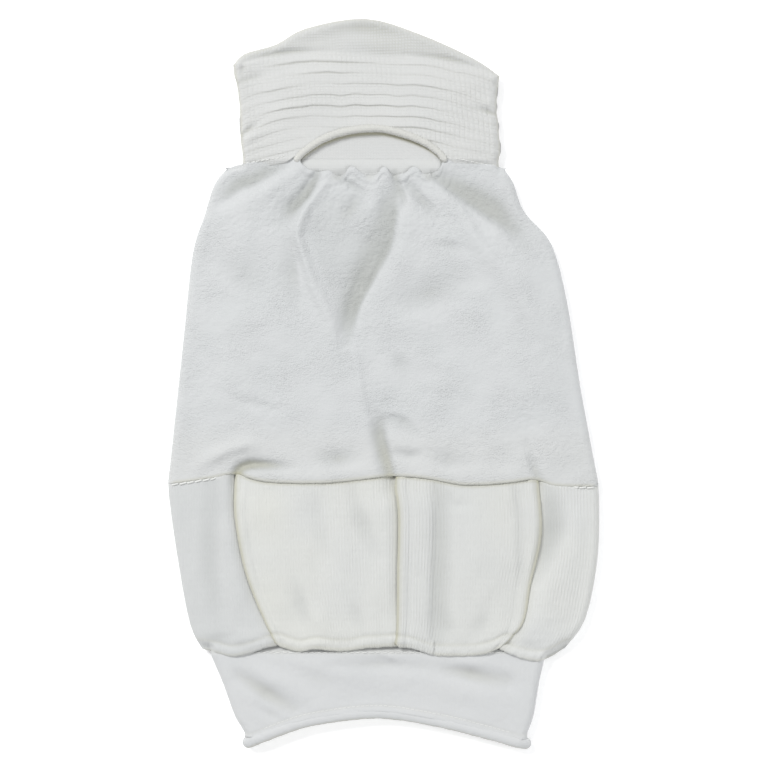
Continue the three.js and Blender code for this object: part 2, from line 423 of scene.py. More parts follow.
def cloth(name, colour, cool, warm, roughness, sheen, relief, depth=0.0006):
    """A cloth material: `relief` builds its fine height and the shade painted into its hollows, and masks mix
    in painted olive and grey shade and a warm tint.
    """
    material = bpy.data.materials.new(name)
    material.use_nodes = True
    tree = material.node_tree
    nodes, links = tree.nodes, tree.links
    shader = nodes["Principled BSDF"]
    shader.inputs["Sheen Weight"].default_value = sheen
    shader.inputs["Sheen Roughness"].default_value = 0.5
    shader.inputs["Specular IOR Level"].default_value = 0.12

    uv = nodes.new("ShaderNodeUVMap")
    uv.uv_map = "flat"

    def texture(kind, scale, stretch=(1, 1, 1), **settings):
        mapping = nodes.new("ShaderNodeMapping")
        mapping.inputs["Scale"].default_value = stretch
        links.new(uv.outputs["UV"], mapping.inputs["Vector"])
        node = nodes.new(kind)
        links.new(mapping.outputs["Vector"], node.inputs["Vector"])
        node.inputs["Scale"].default_value = scale
        for key, value in settings.items():
            node.inputs[key].default_value = value
        return node

    def mix(factor, a, b):
        node = nodes.new("ShaderNodeMix")
        node.data_type = "RGBA"
        for socket, value in ((node.inputs["Factor"], factor), (node.inputs["A"], a), (node.inputs["B"], b)):
            if hasattr(value, "links"):
                links.new(value, socket)
            else:
                socket.default_value = value
        return node.outputs["Result"]

    def math_node(kind, a, b):
        node = nodes.new("ShaderNodeMath")
        node.operation = kind
        for socket, value in zip(node.inputs, (a, b)):
            if hasattr(value, "links"):
                links.new(value, socket)
            else:
                socket.default_value = value
        return node.outputs[0]

    def mask(key):
        node = nodes.new("ShaderNodeAttribute")
        node.attribute_name = key
        return node.outputs["Fac"]

    patches = texture("ShaderNodeTexNoise", 22, Detail=3.0)
    tone = mix(math_node("MULTIPLY", patches.outputs["Fac"], 0.9), colour, cool)
    tone = mix(mask("warm"), tone, warm)
    height, dark = relief(texture, math_node)
    # Painted shade in the hollows of the fine relief.
    tone = mix(math_node("MULTIPLY", dark, 0.10), tone,
               (colour[0] * 0.72, colour[1] * 0.73, colour[2] * 0.74, 1))
    # Painted shade: grey in fold valleys, then olive in creases and under edges.
    tone = mix(mask("shade"), tone, SHADE_TINT)
    tone = mix(mask("crease_shade"), tone, CREASE_SHADE_TINT)
    links.new(tone, shader.inputs["Base Color"])
    rough = texture("ShaderNodeTexNoise", 260, Detail=2.0)
    links.new(math_node("MULTIPLY_ADD", rough.outputs["Fac"], 0.12), shader.inputs["Roughness"])
    shader.inputs["Roughness"].links[0].from_node.inputs[2].default_value = roughness
    bump = nodes.new("ShaderNodeBump")
    bump.inputs["Strength"].default_value = 0.8
    bump.inputs["Distance"].default_value = depth
    links.new(height, bump.inputs["Height"])
    links.new(bump.outputs["Normal"], shader.inputs["Normal"])
    return material


def terry_relief(texture, math_node):
    """Loops of pile about a millimetre across, in short clumps that lie across the garment."""
    loops = texture("ShaderNodeTexVoronoi", 800, (0.75, 1.25, 1))
    clumps = texture("ShaderNodeTexNoise", 330, (0.6, 1.3, 1), Detail=3.0, Roughness=0.6)
    height = math_node("SUBTRACT", clumps.outputs["Fac"],
                       math_node("MULTIPLY", loops.outputs["Distance"], 0.55))
    patches = texture("ShaderNodeTexNoise", 26, Detail=1.0)
    depth = math_node("SUBTRACT", math_node("MULTIPLY", patches.outputs["Fac"], 2.6), 0.55)
    height = math_node("MULTIPLY", height, math_node("MAXIMUM", depth, 0.25))
    # The second value paints shade where the clumps are low.
    return height, math_node("SUBTRACT", 1.0, clumps.outputs["Fac"])


def knit_relief(column, course):
    """Stitches of plain knit: columns across X and courses along Y, in millimetres."""
    def build(texture, math_node):
        columns = texture("ShaderNodeTexWave", 1.0, (1000 / column, 0, 0))
        columns.wave_type, columns.bands_direction = "BANDS", "X"
        columns.inputs["Scale"].default_value = ONE_WAVE
        courses = texture("ShaderNodeTexWave", 1.0, (0, 1000 / course, 0))
        courses.wave_type, courses.bands_direction = "BANDS", "Y"
        courses.inputs["Scale"].default_value = ONE_WAVE
        fibre = texture("ShaderNodeTexNoise", 900, Detail=2.0)
        grid = math_node("MULTIPLY", columns.outputs["Fac"], courses.outputs["Fac"])
        height = math_node("ADD", grid, math_node("MULTIPLY", fibre.outputs["Fac"], 0.5))
        # The second value paints shade between the stitches.
        return height, math_node("SUBTRACT", 1.0, grid)
    return build


def thread_relief(texture, math_node):
    twist = texture("ShaderNodeTexWave", 1.0, (1000 / 0.7, 1000 / 0.7, 0))
    twist.inputs["Scale"].default_value = ONE_WAVE
    twist.bands_direction = "DIAGONAL"
    # The second value paints shade in the grooves of the twist.
    return twist.outputs["Fac"], math_node("SUBTRACT", 1.0, twist.outputs["Fac"])


TERRY = cloth("terry", (0.566, 0.574, 0.578, 1), (0.532, 0.550, 0.552, 1), (0.58, 0.58, 0.56, 1), 0.86, 0.35,
              terry_relief,
              0.0010)
WAFFLE = cloth("waffle_knit", (0.594, 0.597, 0.589, 1), (0.570, 0.581, 0.580, 1), (0.64, 0.635, 0.59, 1),
               0.84, 0.25,
               knit_relief(1.5, 1.5), 0.0003)
RIB = cloth("rib_knit", (0.624, 0.632, 0.630, 1), (0.598, 0.613, 0.615, 1), (0.650, 0.655, 0.618, 1), 0.84,
            0.25,
            knit_relief(1.5, 1.1), 0.0003)
JERSEY = cloth("jersey", (0.600, 0.607, 0.610, 1), (0.572, 0.586, 0.592, 1), (0.62, 0.62, 0.60, 1), 0.83,
               0.25,
               knit_relief(1.2, 0.9), 0.0002)
THREAD = cloth("seam_thread", (0.72, 0.725, 0.71, 1), (0.70, 0.71, 0.705, 1), (0.72, 0.72, 0.69, 1), 0.7,
               0.15, thread_relief,
               0.00008)
ELASTIC = cloth("elastic", (0.575, 0.583, 0.580, 1), (0.56, 0.572, 0.573, 1), (0.59, 0.59, 0.575, 1), 0.75,
                0.1,
                knit_relief(1.0, 2.0), 0.0001)

# ---- The garment's edges ----
WAIST_LOW, NECK_HIGH = -88.0, 199.5
BODY_SIDES = [side_table("front_body_panel", WAIST_LOW - 3, NECK_HIGH, s) for s in (0, 1)]
RIB_SIDES = [side_table("rib_back_panel", -246.5, -105, s) for s in (0, 1)]
# Above the plate's slanting upper edge its sides carry on to those of the body.
RIB_SIDES = [(np.append(ys, body[0][0]), np.append(xs, body[1][0])) for (ys, xs),
             body in zip(RIB_SIDES, BODY_SIDES)]
HEM_SIDES = [side_table("hem_front_band", -318, HEM_FOLD - 0.6, s) for s in (0, 1)]
# Just above the rolled edge the sides draw in.
HEM_SIDES = [(np.concatenate([[-331, -325], ys]), np.concatenate([xs[0] + sign * np.array([4.8, 4.2]), xs]))
             for (ys, xs), sign in zip(HEM_SIDES, (1, -0.7))]
HOOD_SIDES = [side_table("hood_back_panel", NECK_FOLD + 1, 296, s) for s in (0, 1)]


def side_distance(sides, x, y):
    """Distance in from the nearer side, measured square to it."""
    found = []
    for (ys, xs), sign in zip(sides, (1, -1)):
        slope = np.interp(y, ys, np.gradient(xs, ys))
        found.append(sign * (x - np.interp(y, ys, xs)) / np.sqrt(1 + slope**2))
    return np.minimum(*found)


def own_edges(x, y, *names):
    """Distance from the named ones of a grid's own four edges."""
    edges = {"left": (slice(None), slice(0, 1)), "right": (slice(None), slice(-1, None)),
             "bottom": (slice(0, 1), slice(None)), "top": (slice(-1, None), slice(None))}
    return np.minimum.reduce([np.hypot(x - x[edges[name]], y - y[edges[name]]) for name in names])


def inward(sides, x, y):
    """Distance in from the garment's sides, 0 on the grid's own side edges."""
    return np.minimum(side_distance(sides, x, y), own_edges(x, y, "left", "right"))


def quarter(d, radius=EDGE_RADIUS):
    return np.sqrt(np.maximum(1 - (1 - np.clip(d / radius, 0, 1)) ** 2, 0))


def front_height(d, full):
    """Height of the front layer a distance in from the edge: rounded at the edge, then rising to `full`."""
    return EDGE_RADIUS * (1 + quarter(d)) + (full - 2 * EDGE_RADIUS) * smooth(d / RISE)


def back_height(d):
    return EDGE_RADIUS * (1 - quarter(d))


def back_layer(x, y, d, seed):
    """Height of a back layer, which rests on the table with a little unevenness."""
    return back_height(d) + 0.25 * smooth(d / 20) * (1 + fractal(x / 30, y / 26, seed, 2))


def waist_y(x):
    """Height of the waist seam across the garment."""
    low = np.array([span("waist_seam_front", v, 0) for v in np.linspace(-199, 199, 81)]).mean(1)
    return np.interp(x, np.linspace(-199, 199, 81), low)


def xs_line(fn, low, high, count=121):
    x = np.linspace(low, high, count)
    return np.stack([x, fn(x)], 1)


# ---- Terry body ----
NECKLINE = [
    (-145, 200), (-132, 203.2), (-115, 206), (-98, 209), (-88, 212.5), (-82.5, 213.5), (-79.5, 210),
    (-77, 203.5), (-72, 199), (-66, 196.3), (-60, 195.2), (-54, 196.4), (-49, 195.4), (-44, 191.8),
    (-40, 191.2), (-36.5, 193.2), (-33.5, 198.2), (-30, 200.2), (-26.5, 199.0), (-22, 195), (-17, 192.2),
    (-11, 191.6), (-6, 192.8), (-3, 197.6), (0.5, 200), (3.5, 198.2), (6, 194.2), (9, 191.8), (15, 192.6),
    (21, 194.4), (24, 197.6), (28.5, 199.8), (32.5, 198), (36, 194.4), (40, 193), (47, 194.6), (52, 198),
    (55.5, 204.5), (59, 209.5), (64, 210), (74, 207.6), (88, 204.6), (100, 202.4), (112, 200),
]
GATHER_TIPS = (-57, -28, 2, 29.5)
GATHER_DIPS = (-43, -13, 10, 39)


# Each fold: its line, its height along the line, and its widths on the left and right of the line.
BODY_FOLDS = [
    # Left shoulder
    ([(-92, 203), (-108, 196), (-121, 189), (-135, 184), (-162, 165)], [-2, -4.2, -4.8, -3.6, -1.2],
     [6, 7], [9, 11]),
    ([(-80, 197), (-100, 184), (-121, 171.5), (-159, 155)], [1.2, 2.4, 2.4, 0.8], [8, 11]),
    ([(-61, 194), (-67, 183), (-75, 171), (-94, 152)], [-4, -6, -5.5, -1.5], [3.5, 4, 4.5, 9], [5, 7, 9, 13]),
    # Left arm of the V
    ([(-53, 188), (-62, 176), (-72, 163), (-80, 141), (-76, 124), (-72, 111), (-64, 87), (-53, 65),
     (-40, 32)], [1.4, 3.0, 4.0, 4.4, 3.8, 3.3, 2.7, 2.0, 0.7], [5, 5.5, 6, 6, 6, 7, 8, 9, 9],
     [3.5, 3.8, 4, 4, 4, 5, 6, 7, 9]),
    ([(-86, 130), (-83, 104), (-79, 74)], [-1.2, -2.6, -0.8], 3.5, [10, 13]),
    # Right arm of the V, and the ridge east of it
    ([(12, 186), (10, 166), (5, 130), (-11, 98), (-25, 70), (-34, 37)],
     [-1.5, -4.2, -5.0, -5.4, -5.0, -1.6], [3.5, 4, 4, 3.2, 3, 5], [8, 14, 18, 16, 12, 9]),
    ([(22, 160), (20, 130), (5, 95), (-8, 66)], [1.6, 2.0, 1.6, 0.6], [12, 14], 8),
    # Below the neckline
    ([(-40, 191), (-30, 184), (-17, 177)], [-2.2, -2.4, -0.6], [3.5, 4]),
    ([(-26, 170), (-31, 161), (-40, 152)], [-1.0, -1.8, -0.5], [5, 6]),
    ([(12, 190), (17, 176), (18, 166), (10, 154)], [-1.6, -3.0, -2.4, -0.6], [3, 4], [4, 5]),
    ([(24, 184), (37, 169), (51, 154)], [-2.2, -3.2, -0.8], [5, 6], [6, 7]),
    ([(-7, 182), (-10, 168), (-16, 156)], [1.2, 1.6, 0.4], [6, 8]),
    # Right shoulder
    ([(47, 192), (60, 184), (73, 177), (95, 163), (117, 147), (129, 129)],
     [-3, -5.5, -6.5, -6.5, -4.0, -1.2], [8, 12, 14, 15, 15, 12], [4, 6, 7, 7, 8, 9]),
    ([(51, 182), (64, 167), (76, 152), (87, 133), (106, 111), (125, 89), (138, 60)],
     [0.8, 2.2, 3.4, 3.6, 2.6, 1.6, 0.5], [6, 6, 6, 6, 8, 10, 12], [6, 8, 10, 10, 12, 12, 12]),
    # Shallow dips over the chest
    ([(48, 128), (62, 128), (80, 123)], [-0.6, -1.8, -0.5], 5),
    ([(8, 71), (43, 84), (77, 97)], [-0.8, -2.6, -0.8], [12, 14]),
    ([(10, 30), (16, 20), (20, 4)], [-0.6, -1.8, -0.6], [8, 9]),
    ([(-150, 118), (-128, 100), (-104, 92)], [-0.6, -1.8, -0.6], [16, 18], [14, 16]),
    ([(118, 77), (128, 60), (139, 42)], [-0.5, -1.5, -0.4], [5, 6]),
    ([(128, 80), (138, 62), (148, 45)], [0.4, 1.1, 0.3], [6, 7]),
    # Low on the body
    ([(-138, -14), (-118, -18), (-94, -25)], [-0.5, -1.3, -0.4], 5),
    ([(-26, 28), (-22, 0), (-15, -34)], [0.5, 1.6, 0.8], 4, 6),
    ([(-5, -30), (-3, -45), (0, -58), (7, -86), (9, -97)], [-1.6, -4.8, -4.6, -3.6, -2.2], [6, 5, 5, 6],
     [8, 9, 9, 8]),
    ([(3, -32), (16, -34), (32, -46)], [-1.4, -2.4, -0.6], [4, 5], [7, 9]),
    ([(8, -50), (22, -57), (36, -60)], [0.8, 1.7, 0.6], [6, 7], 7),
    ([(12, -65), (26, -67), (40, -63)], [-0.8, -1.9, -0.5], [4, 5]),
    ([(46, -66), (60, -73), (76, -76)], [-0.8, -2.2, -0.7], [10, 11], [8, 9]),
    ([(-64, -66), (-42, -70), (-20, -66)], [-0.8, -2.6, -0.8], [9, 10], 8),
    ([(-174, -78), (-149, -64), (-127, -57), (-110, -61)], [0.8, 3.0, 3.4, 0.8], [7, 8], [6, 7]),
    ([(-138, -92), (-133, -79), (-118, -75), (-84, -78)], [-4.4, -6.0, -3.8, -0.8], [5.5, 4.5, 5], [6, 5, 5]),
    ([(134, -58), (141, -82), (152, -99)], [-0.8, -2.3, -2.0], [4.5, 5], [4, 5]),
    ([(40, -80), (84, -84), (124, -78)], [0.4, 1.2, 0.4], [8, 9], 7),
    ([(-100, -84), (-60, -87), (-24, -82)], [0.4, 1.2, 0.4], 7, 6),
]


def folds_of(table, x, y):
    return sum(fold(x, y, *row) for row in table)


def body_folds(x, y):
    """The folds of the terry front, with the ground between the arms of the V a little lower."""
    inside = smooth((x + 78 - (165 - y) * 0.26) / 12) * smooth((12 - (165 - y) * 0.35 - x) / 14)
    return 1.2 * folds_of(BODY_FOLDS, x, y) - 1.8 * inside * between(y, 40, 165, 22)


def gathers(x, y):
    """Small pleats that spread down from the elastic of the neckline."""
    depth = 196 - y
    spread = x - (x + 8) * np.clip(depth, 0, 90) / 150
    wave = np.zeros_like(x)
    for tip, width in zip(GATHER_TIPS, (8, 7, 6, 7)):
        wave += bell(spread - tip, width)
    for dip, width in zip(GATHER_DIPS, (5, 5, 4, 5)):
        wave -= 1.1 * bell(spread - dip, width)
    return 1.2 * wave * between(depth, -12, 4, 6) * np.exp(-np.clip(depth, 0, 200) / 19.0)


def terry_pile(x, y):
    """The uneven surface of the looped pile: short clumps that lie across the garment, stronger in places."""
    clumps = 0.15 * noise(x / 3.2, y / 2.1, 5) + 0.15 * noise(x / 2.4, y / 2.2, 9)
    strength = 0.9 + 0.7 * noise(x / 34, y / 30, 3) + 0.6 * between(y, 150, 205, 50)
    return clumps * strength


def overhang(x):
    """1 between the outer pleats, where the body hangs over the rib knit, and 0 at the two sides."""
    return between(x, -127, 138, 12)


def terry_height(x, y, d):
    """Smooth height of the terry front, a distance d in from the nearer side."""
    swell = 0.8 * fractal(x / 62, y / 55, 21, 2) + 0.7 * fractal(x / 26, y / 19, 22, 2)
    lump = 1.0 * overhang(x) * bell(y - waist_y(x) - 9, 8)
    thinner = 2.6 * smooth((y - 140) / 60)
    return front_height(d, FRONT) + smooth(d / 20) * (body_folds(x, y) + gathers(x, y) + swell + lump
        - thinner)


SHUT = 9.0  # how far in from an edge two layers draw together there
SHOULDER_SHUT, CORNER_SHUT = 9.0, 8.6  # how high the front layer still is where it closes


def past_hood(x):
    """1 over the ends of the shoulders, beyond the sides of the hood."""
    return smooth((-127 - x) / 6) + smooth((x - 103) / 6)


def terry_front():
    neck = curve(NECKLINE, 4)
    neck = neck[np.concatenate([[True], np.diff(neck[:, 0]) > 0.05])]
    low, high = waist_y(np.array([-200.0, 200.0])) + 3.2
    left = edge_line(BODY_SIDES[0], low, 200, 80)
    right = edge_line(BODY_SIDES[1], high, 200, 80)
    bottom = xs_line(lambda x: waist_y(x) + 3.2, left[0, 0], right[0, 0])
    us = spaced(BODY_ACROSS, 1.15, EDGE_RADIUS, EDGE_RADIUS)
    vs = spaced(BODY_ALONG, 1.2)
    x, y = patch(left, right, bottom, neck, us, vs)
    d = inward(BODY_SIDES, x, y)
    inner = smooth(d / 20)
    folds = body_folds(x, y) + gathers(x, y)
    top_edge = np.interp(x, neck[:, 0], neck[:, 1])
    z = terry_height(x, y, d)
    # A rolled casing along the neckline, with a stitched groove below it.
    below = top_edge - y
    at_neck = between(x, -76, 53, 5)
    z += at_neck * (0.7 * bell(below - 2.6, 2.4) - 0.6 * bell(below - 7.2, 1.7))
    z = np.maximum(z, EDGE_RADIUS * (1 + quarter(d)) - 1)
    # Beyond the hood the two layers close at the shoulder.
    z += past_hood(x) * smooth(1 - own_edges(x, y, "top") / SHUT) * np.minimum(SHOULDER_SHUT - z, 0)
    points = np.stack([x, y, z], -1)
    relief = terry_pile(x, y) * smooth(d / 3) * (1 + 0.9 * np.clip(-folds / 5, 0, 1))
    # Painted olive shade in deep fold valleys, at the waist where the terry hangs over, in the dips of the
    # gathers and along the waist seam; painted grey shade in fold valleys.
    crease_shade = 0.12 * np.clip(-(folds + 2.2) / 5, 0, 1) * inner
    crease_shade += 0.35 * np.clip(-(folds + 2.0) / 3.2, 0, 1) * bell(y - waist_y(x), 30)
    crease_shade += at_neck * 0.20 * np.clip(-gathers(x, y) / 2.0, 0, 1)
    crease_shade += 0.30 * bell(y - waist_y(x) - 3.2, 1.4) * smooth(d / 8)
    shade = 0.68 * np.clip(-(folds + 0.4) / 4.8, 0, 1) * inner
    points = lip(points, "bottom", 1.6)
    points = lip(points, "top", 2.0, turn=120)
    pad = ((6, 6), (0, 0))
    relief, crease_shade, shade = [np.pad(value, pad, mode="edge") for value in (relief, crease_shade, shade)]
    warm = 0.25 * between(points[..., 1], -100, -60, 30)
    return sheet_mesh("terry_front", points, LAYER_TERRY, TERRY,
                      {"crease_shade": np.clip(crease_shade, 0, 1), "warm": warm, "shade": shade}, relief)


def terry_back():
    low, high = waist_y(np.array([-200.0, 200.0])) + 0.6
    left = edge_line(BODY_SIDES[0], low, 200, 60)
    right = edge_line(BODY_SIDES[1], high, 200, 60)
    bottom = xs_line(lambda x: waist_y(x) + 0.6, left[0, 0], right[0, 0])
    top = np.array([[-145.0, 200.0], [-120, 203.5], [-84, 205.1], [60, 205.1], [90, 203.5], [112, 200]])
    us, vs = spaced(BODY_ACROSS, 2.0, EDGE_RADIUS, EDGE_RADIUS), spaced(BODY_ALONG, 2.2)
    x, y = patch(left, right, bottom, top, us, vs)
    d = inward(BODY_SIDES, x, y)
    z = back_layer(x, y, d, 41)
    z = np.maximum(z, past_hood(x) * back_height(own_edges(x, y, "top")))
    z += lift(x, np.full_like(y, 206.0)) * smooth((y - 182) / 24)
    points = np.stack([x, y, z], -1)
    # Painted olive shade along the waist seam.
    crease_shade = 0.3 * bell(y - waist_y(x) - 0.6, 1.6)
    return sheet_mesh("terry_back", points, LAYER_TERRY, TERRY, {"crease_shade": crease_shade},
                      0.8 * terry_pile(x, y) * smooth(d / 3), flip=True)


# ---- Hood ----
HOOD_FULL = 17.4
CROWN_FULL = 14.5
LIFT = 11.0  # how far the hood's back layer is raised behind the face opening
ARCH_X = np.linspace(-85.6, 61.6, 90)
ARCH_Y = sides_of("hood_front_band", ARCH_X, 0, 0)
CROWN_X = np.linspace(-137, 106, 90)
CROWN_Y = sides_of("hood_front_band", CROWN_X, 0, 1)
DOME_X = np.linspace(-140.0, 108.8, 140)
DOME_Y = sides_of("hood_back_panel", DOME_X, 0, 1)
RIM_RADIUS = half_height("face_opening_rim")


def crown_line(x):
    return np.interp(x, CROWN_X, CROWN_Y)


def dome_distance(x, y):
    slope = np.interp(x, DOME_X, np.gradient(DOME_Y, DOME_X))
    return (np.interp(x, DOME_X, DOME_Y) - y) / np.sqrt(1 + slope**2)


def lift(x, y):
    """The back layer comes up behind the face opening, close under the front."""
    return LIFT * between(x, -74, 50, 22) * between(y, 192, 246, 22)


def rows_at(x, y, wander):
    """The number of shirred rows from the crown line down to a point. The rows arch a little."""
    sag = 0.0006 * np.minimum(x + 10, 0) ** 2 * smooth((crown_line(x) - y) / 40)
    return (crown_line(x) + 1.0 - y - sag + wander) / ROW_PITCH


def shirring(x, y):
    """Rows and cells of the shirred waffle knit: the fine height, and how much shade is painted into each
    point's creases.
    """
    wander = 1.5 * fractal(x / 46, y / 40, 61, 2) + 0.7 * noise(x / 13, y / 24, 67)
    rows = rows_at(x, y, wander)
    row = np.floor(rows)
    q = rows - row
    depth = np.clip(0.52 + 0.62 * noise(x / 40 + row * 7.3, row * 3.7, 71), 0.05, 1)
    centre = between(x, -95, 30, 45)
    depth = depth * (0.40 + 0.65 * centre) * smooth((rows + 0.15) / 0.3)
    shingle = (0.15 + 0.85 * q**1.3) * (1 - smooth((q - 0.78) / 0.17)) + 0.15 * smooth((q - 0.96) / 0.04)
    columns = (x + 0.9 * noise(x / 16, y / 12, 75) + 0.10 * (y - 250)) / CELL_WIDTH
    courses = rows * 2.0 + 0.12 * noise(x / 9, y / 9, 76)
    gap_x = gap(columns, CELL_WIDTH, GAP_WIDTH)
    gap_y = gap(courses, ROW_PITCH / 2, GAP_WIDTH)
    fade = np.clip(0.62 + 0.42 * noise(x / 26, y / 22, 77) + 0.35 * (1 - centre), 0.2, 1.1)
    gaps = np.maximum(gap_x, 0.8 * gap_y)
    # Painted shade under each row and in the gaps between cells.
    crease_shade = 0.62 * depth * bell(q - 0.91, 0.08) + 0.20 * gaps * fade
    return 2.1 * depth * shingle - 0.54 * gaps * fade, crease_shade


def gap(count, pitch, width):
    """1 on the line midway through each cell, which is `pitch` wide, and 0 away from it."""
    return bell(((count % 1) - 0.5) * pitch, width)


def crown_grid(x, y):
    """The finer grid of the crown, and the shade painted into its gaps."""
    columns = (x + 0.7 * noise(x / 14, y / 11, 84) + 0.05 * y) / CROWN_CELL
    courses = (y - 0.04 * x + 0.6 * noise(x / 12, y / 12, 85)) / CROWN_CELL
    gap_x = gap(columns, CROWN_CELL, CROWN_GAP)
    gap_y = gap(courses, CROWN_CELL, CROWN_GAP)
    gaps = np.maximum(gap_x, gap_y) * np.clip(0.7 + 0.5 * noise(x / 30, y / 24, 83), 0.2, 1.1)
    return -0.50 * gaps, 0.36 * gaps


CROWN_FOLDS = [
    ([(-136, 298), (-110, 305), (-80, 309), (-50, 309)], [-1.2, -2.4, -2.0, -0.4], 3, 2.4),
    ([(-118, 308), (-90, 313), (-60, 313)], [0.4, 1.2, 0.4], [5, 6], [4, 5]),
    ([(-50, 327), (-20, 331), (12, 326), (34, 318)], [-0.6, -2.6, -2.0, -0.4], [7, 8], [8, 9]),
    ([(-30, 318), (0, 314), (26, 310)], [0.8, 2.2, 0.6], [8, 9], [7, 8]),
    ([(-95, 312), (-60, 320), (-40, 332)], [-0.4, -1.2, -0.2], [6, 7]),
    ([(20, 306), (60, 302), (100, 290)], [-0.8, -2.0, -1.2], 2.6, 2.4),
    ([(60, 310), (84, 300), (104, 290)], [0.4, 1.2, 0.4], 5, 4),
]
HOOD_CREASES = [
    ([(-134, 229), (-126, 236), (-115, 243)], [-2.6, -2.8, -0.5], 3, 2.4),
    ([(-132, 222), (-122, 229), (-108, 236)], [1.0, 1.6, 0.4], 4),
    ([(108, 250), (100, 252), (86, 257)], [-2.6, -2.8, -0.5], 2.4, 3),
    ([(107, 258), (96, 260), (84, 264)], [0.8, 1.4, 0.3], 4),
    ([(-137, 280), (-120, 285), (-100, 288)], [-1.0, -1.4, -0.3], 4, 3),
]


def hood_creases(x, y):
    """The creases at the sides of the hood, and its curled upper corners."""
    z = folds_of(HOOD_CREASES, x, y)
    z += 3.2 * bell(x + 137, 5) * bell(y - 299, 4.5)
    z -= 2.2 * bell(x + 131, 2.6) * bell(y - 293, 5.5)
    z += 1.8 * bell(x - 105, 5) * bell(y - 286, 5)
    return z


def hood_bottom():
    """The lower edge of the hood's front: under the shoulders of the body, and over the face opening."""
    arch = [(x, y) for x, y in zip(ARCH_X, ARCH_Y - 3.6) if -81 < x < 57]
    return np.array([(-131, 200.5), (-110, 202), (-92, 204)] + arch + [(66, 204.5), (86, 202), (107.5, 200)])


def hood_edges():
    """The left, right and upper edges of both layers of the hood. The sides are a little uneven."""
    left, right = edge_line(HOOD_SIDES[0], 201, 296.5, 90), edge_line(HOOD_SIDES[1], 200, 286.5, 90)
    left[:, 0] += 0.7 * noise(left[:, 1] / 7, left[:, 1] * 0, 95)
    right[:, 0] += 0.7 * noise(right[:, 1] / 6, right[:, 1] * 0, 96)
    return left, right, np.stack([DOME_X, DOME_Y], 1)


def hood_inward(x, y):
    """Distance in from the sides and the upper edge of the hood."""
    return np.minimum.reduce([side_distance(HOOD_SIDES, x, y), dome_distance(x, y),
        own_edges(x, y, "left", "right", "top")])


def hood_front():
    left, right, top = hood_edges()
    us, vs = spaced(HOOD_ACROSS, 0.66, EDGE_RADIUS, EDGE_RADIUS), spaced(HOOD_ALONG, 0.60, 0, EDGE_RADIUS)
    x, y = patch(left, right, hood_bottom(), top, us, vs)
    d = hood_inward(x, y)
    above = smooth((y - crown_line(x) + 1) / 5)
    full = HOOD_FULL + (CROWN_FULL - HOOD_FULL) * smooth((y - crown_line(x) + 25) / 40)
    folds = folds_of(CROWN_FOLDS, x, y) + hood_creases(x, y) + 0.8 * fractal(x / 44, y / 28, 51, 2)
    # The lower edge tucks under the shoulders of the body.
    outside = 1 - between(x, -82, 58, 6)
    z = front_height(d, full) + folds * smooth(d / 8) - 3.0 * outside * smooth((209 - y) / 7) * smooth(d / 8)
    fine, dark = shirring(x, y)
    grid, gaps = crown_grid(x, y)
    relief = (fine * (1 - above) + grid * above) * smooth(d / 3)
    # Painted shade in the rows' creases and the waffle gaps, in fold valleys and along the edges; the crown
    # is painted a little darker.
    marks = (0.50 * dark * (1 - above) + gaps * above) * smooth(d / 4)
    crease_shade = 0.55 * marks + 0.16 * np.clip(-(folds + 1.2) / 2, 0, 1) + 0.30 * (1 - smooth(d / 3.5))
    shade = 0.60 * marks + 0.50 * np.clip(-(folds + 0.5) / 3.4, 0, 1) + 0.08 * above
    points = np.stack([x, y, z], -1)
    masks = {"crease_shade": np.clip(crease_shade, 0, 1), "warm": 0.10 * (1 - above), "shade": np.clip(shade, 0, 1)}
    return sheet_mesh("hood_front", points, LAYER_WAFFLE, WAFFLE, masks, relief)


def hood_back():
    left, right, top = hood_edges()
    bottom = np.array([[-131, 201.0], [-96, 202.0], [-80, 205.2], [56, 205.2], [72, 202.0], [107.5, 200.0]])
    us, vs = spaced(HOOD_ACROSS, 1.3, EDGE_RADIUS, EDGE_RADIUS), spaced(HOOD_ALONG, 1.3, 0, EDGE_RADIUS)
    x, y = patch(left, right, bottom, top, us, vs)
    d = hood_inward(x, y)
    z = back_layer(x, y, d, 43) + lift(x, y)
    fine, dark = shirring(x, y + 4)
    under_rim = np.interp(x, ARCH_X, ARCH_Y) - y
    # Painted olive shade in the rows' creases, and on the inner face a painted shadow line just under the
    # rim.
    shaded = bell(under_rim - 8.4, 1.7) * between(x, -78, 54, 6)
    crease_shade = 0.3 * dark * smooth(d / 6) * (1 - lift(x, y) / LIFT)
    masks = {"crease_shade": crease_shade}
    relief = (0.55 * fine * (1 - lift(x, y) / LIFT) - 0.9) * smooth(d / 4)
    # The lower edge lies inside the body.
    points = set_in(np.stack([x, y, z], -1),
                    LAYER_TERRY * smooth((206.5 - y) / 2.5) * (1 - between(x, -84, 60, 8)))
    return sheet_mesh("hood_back", points, LAYER_WAFFLE, WAFFLE, masks, relief, True, 1,
                      {"crease_shade": 0.9 * shaded})


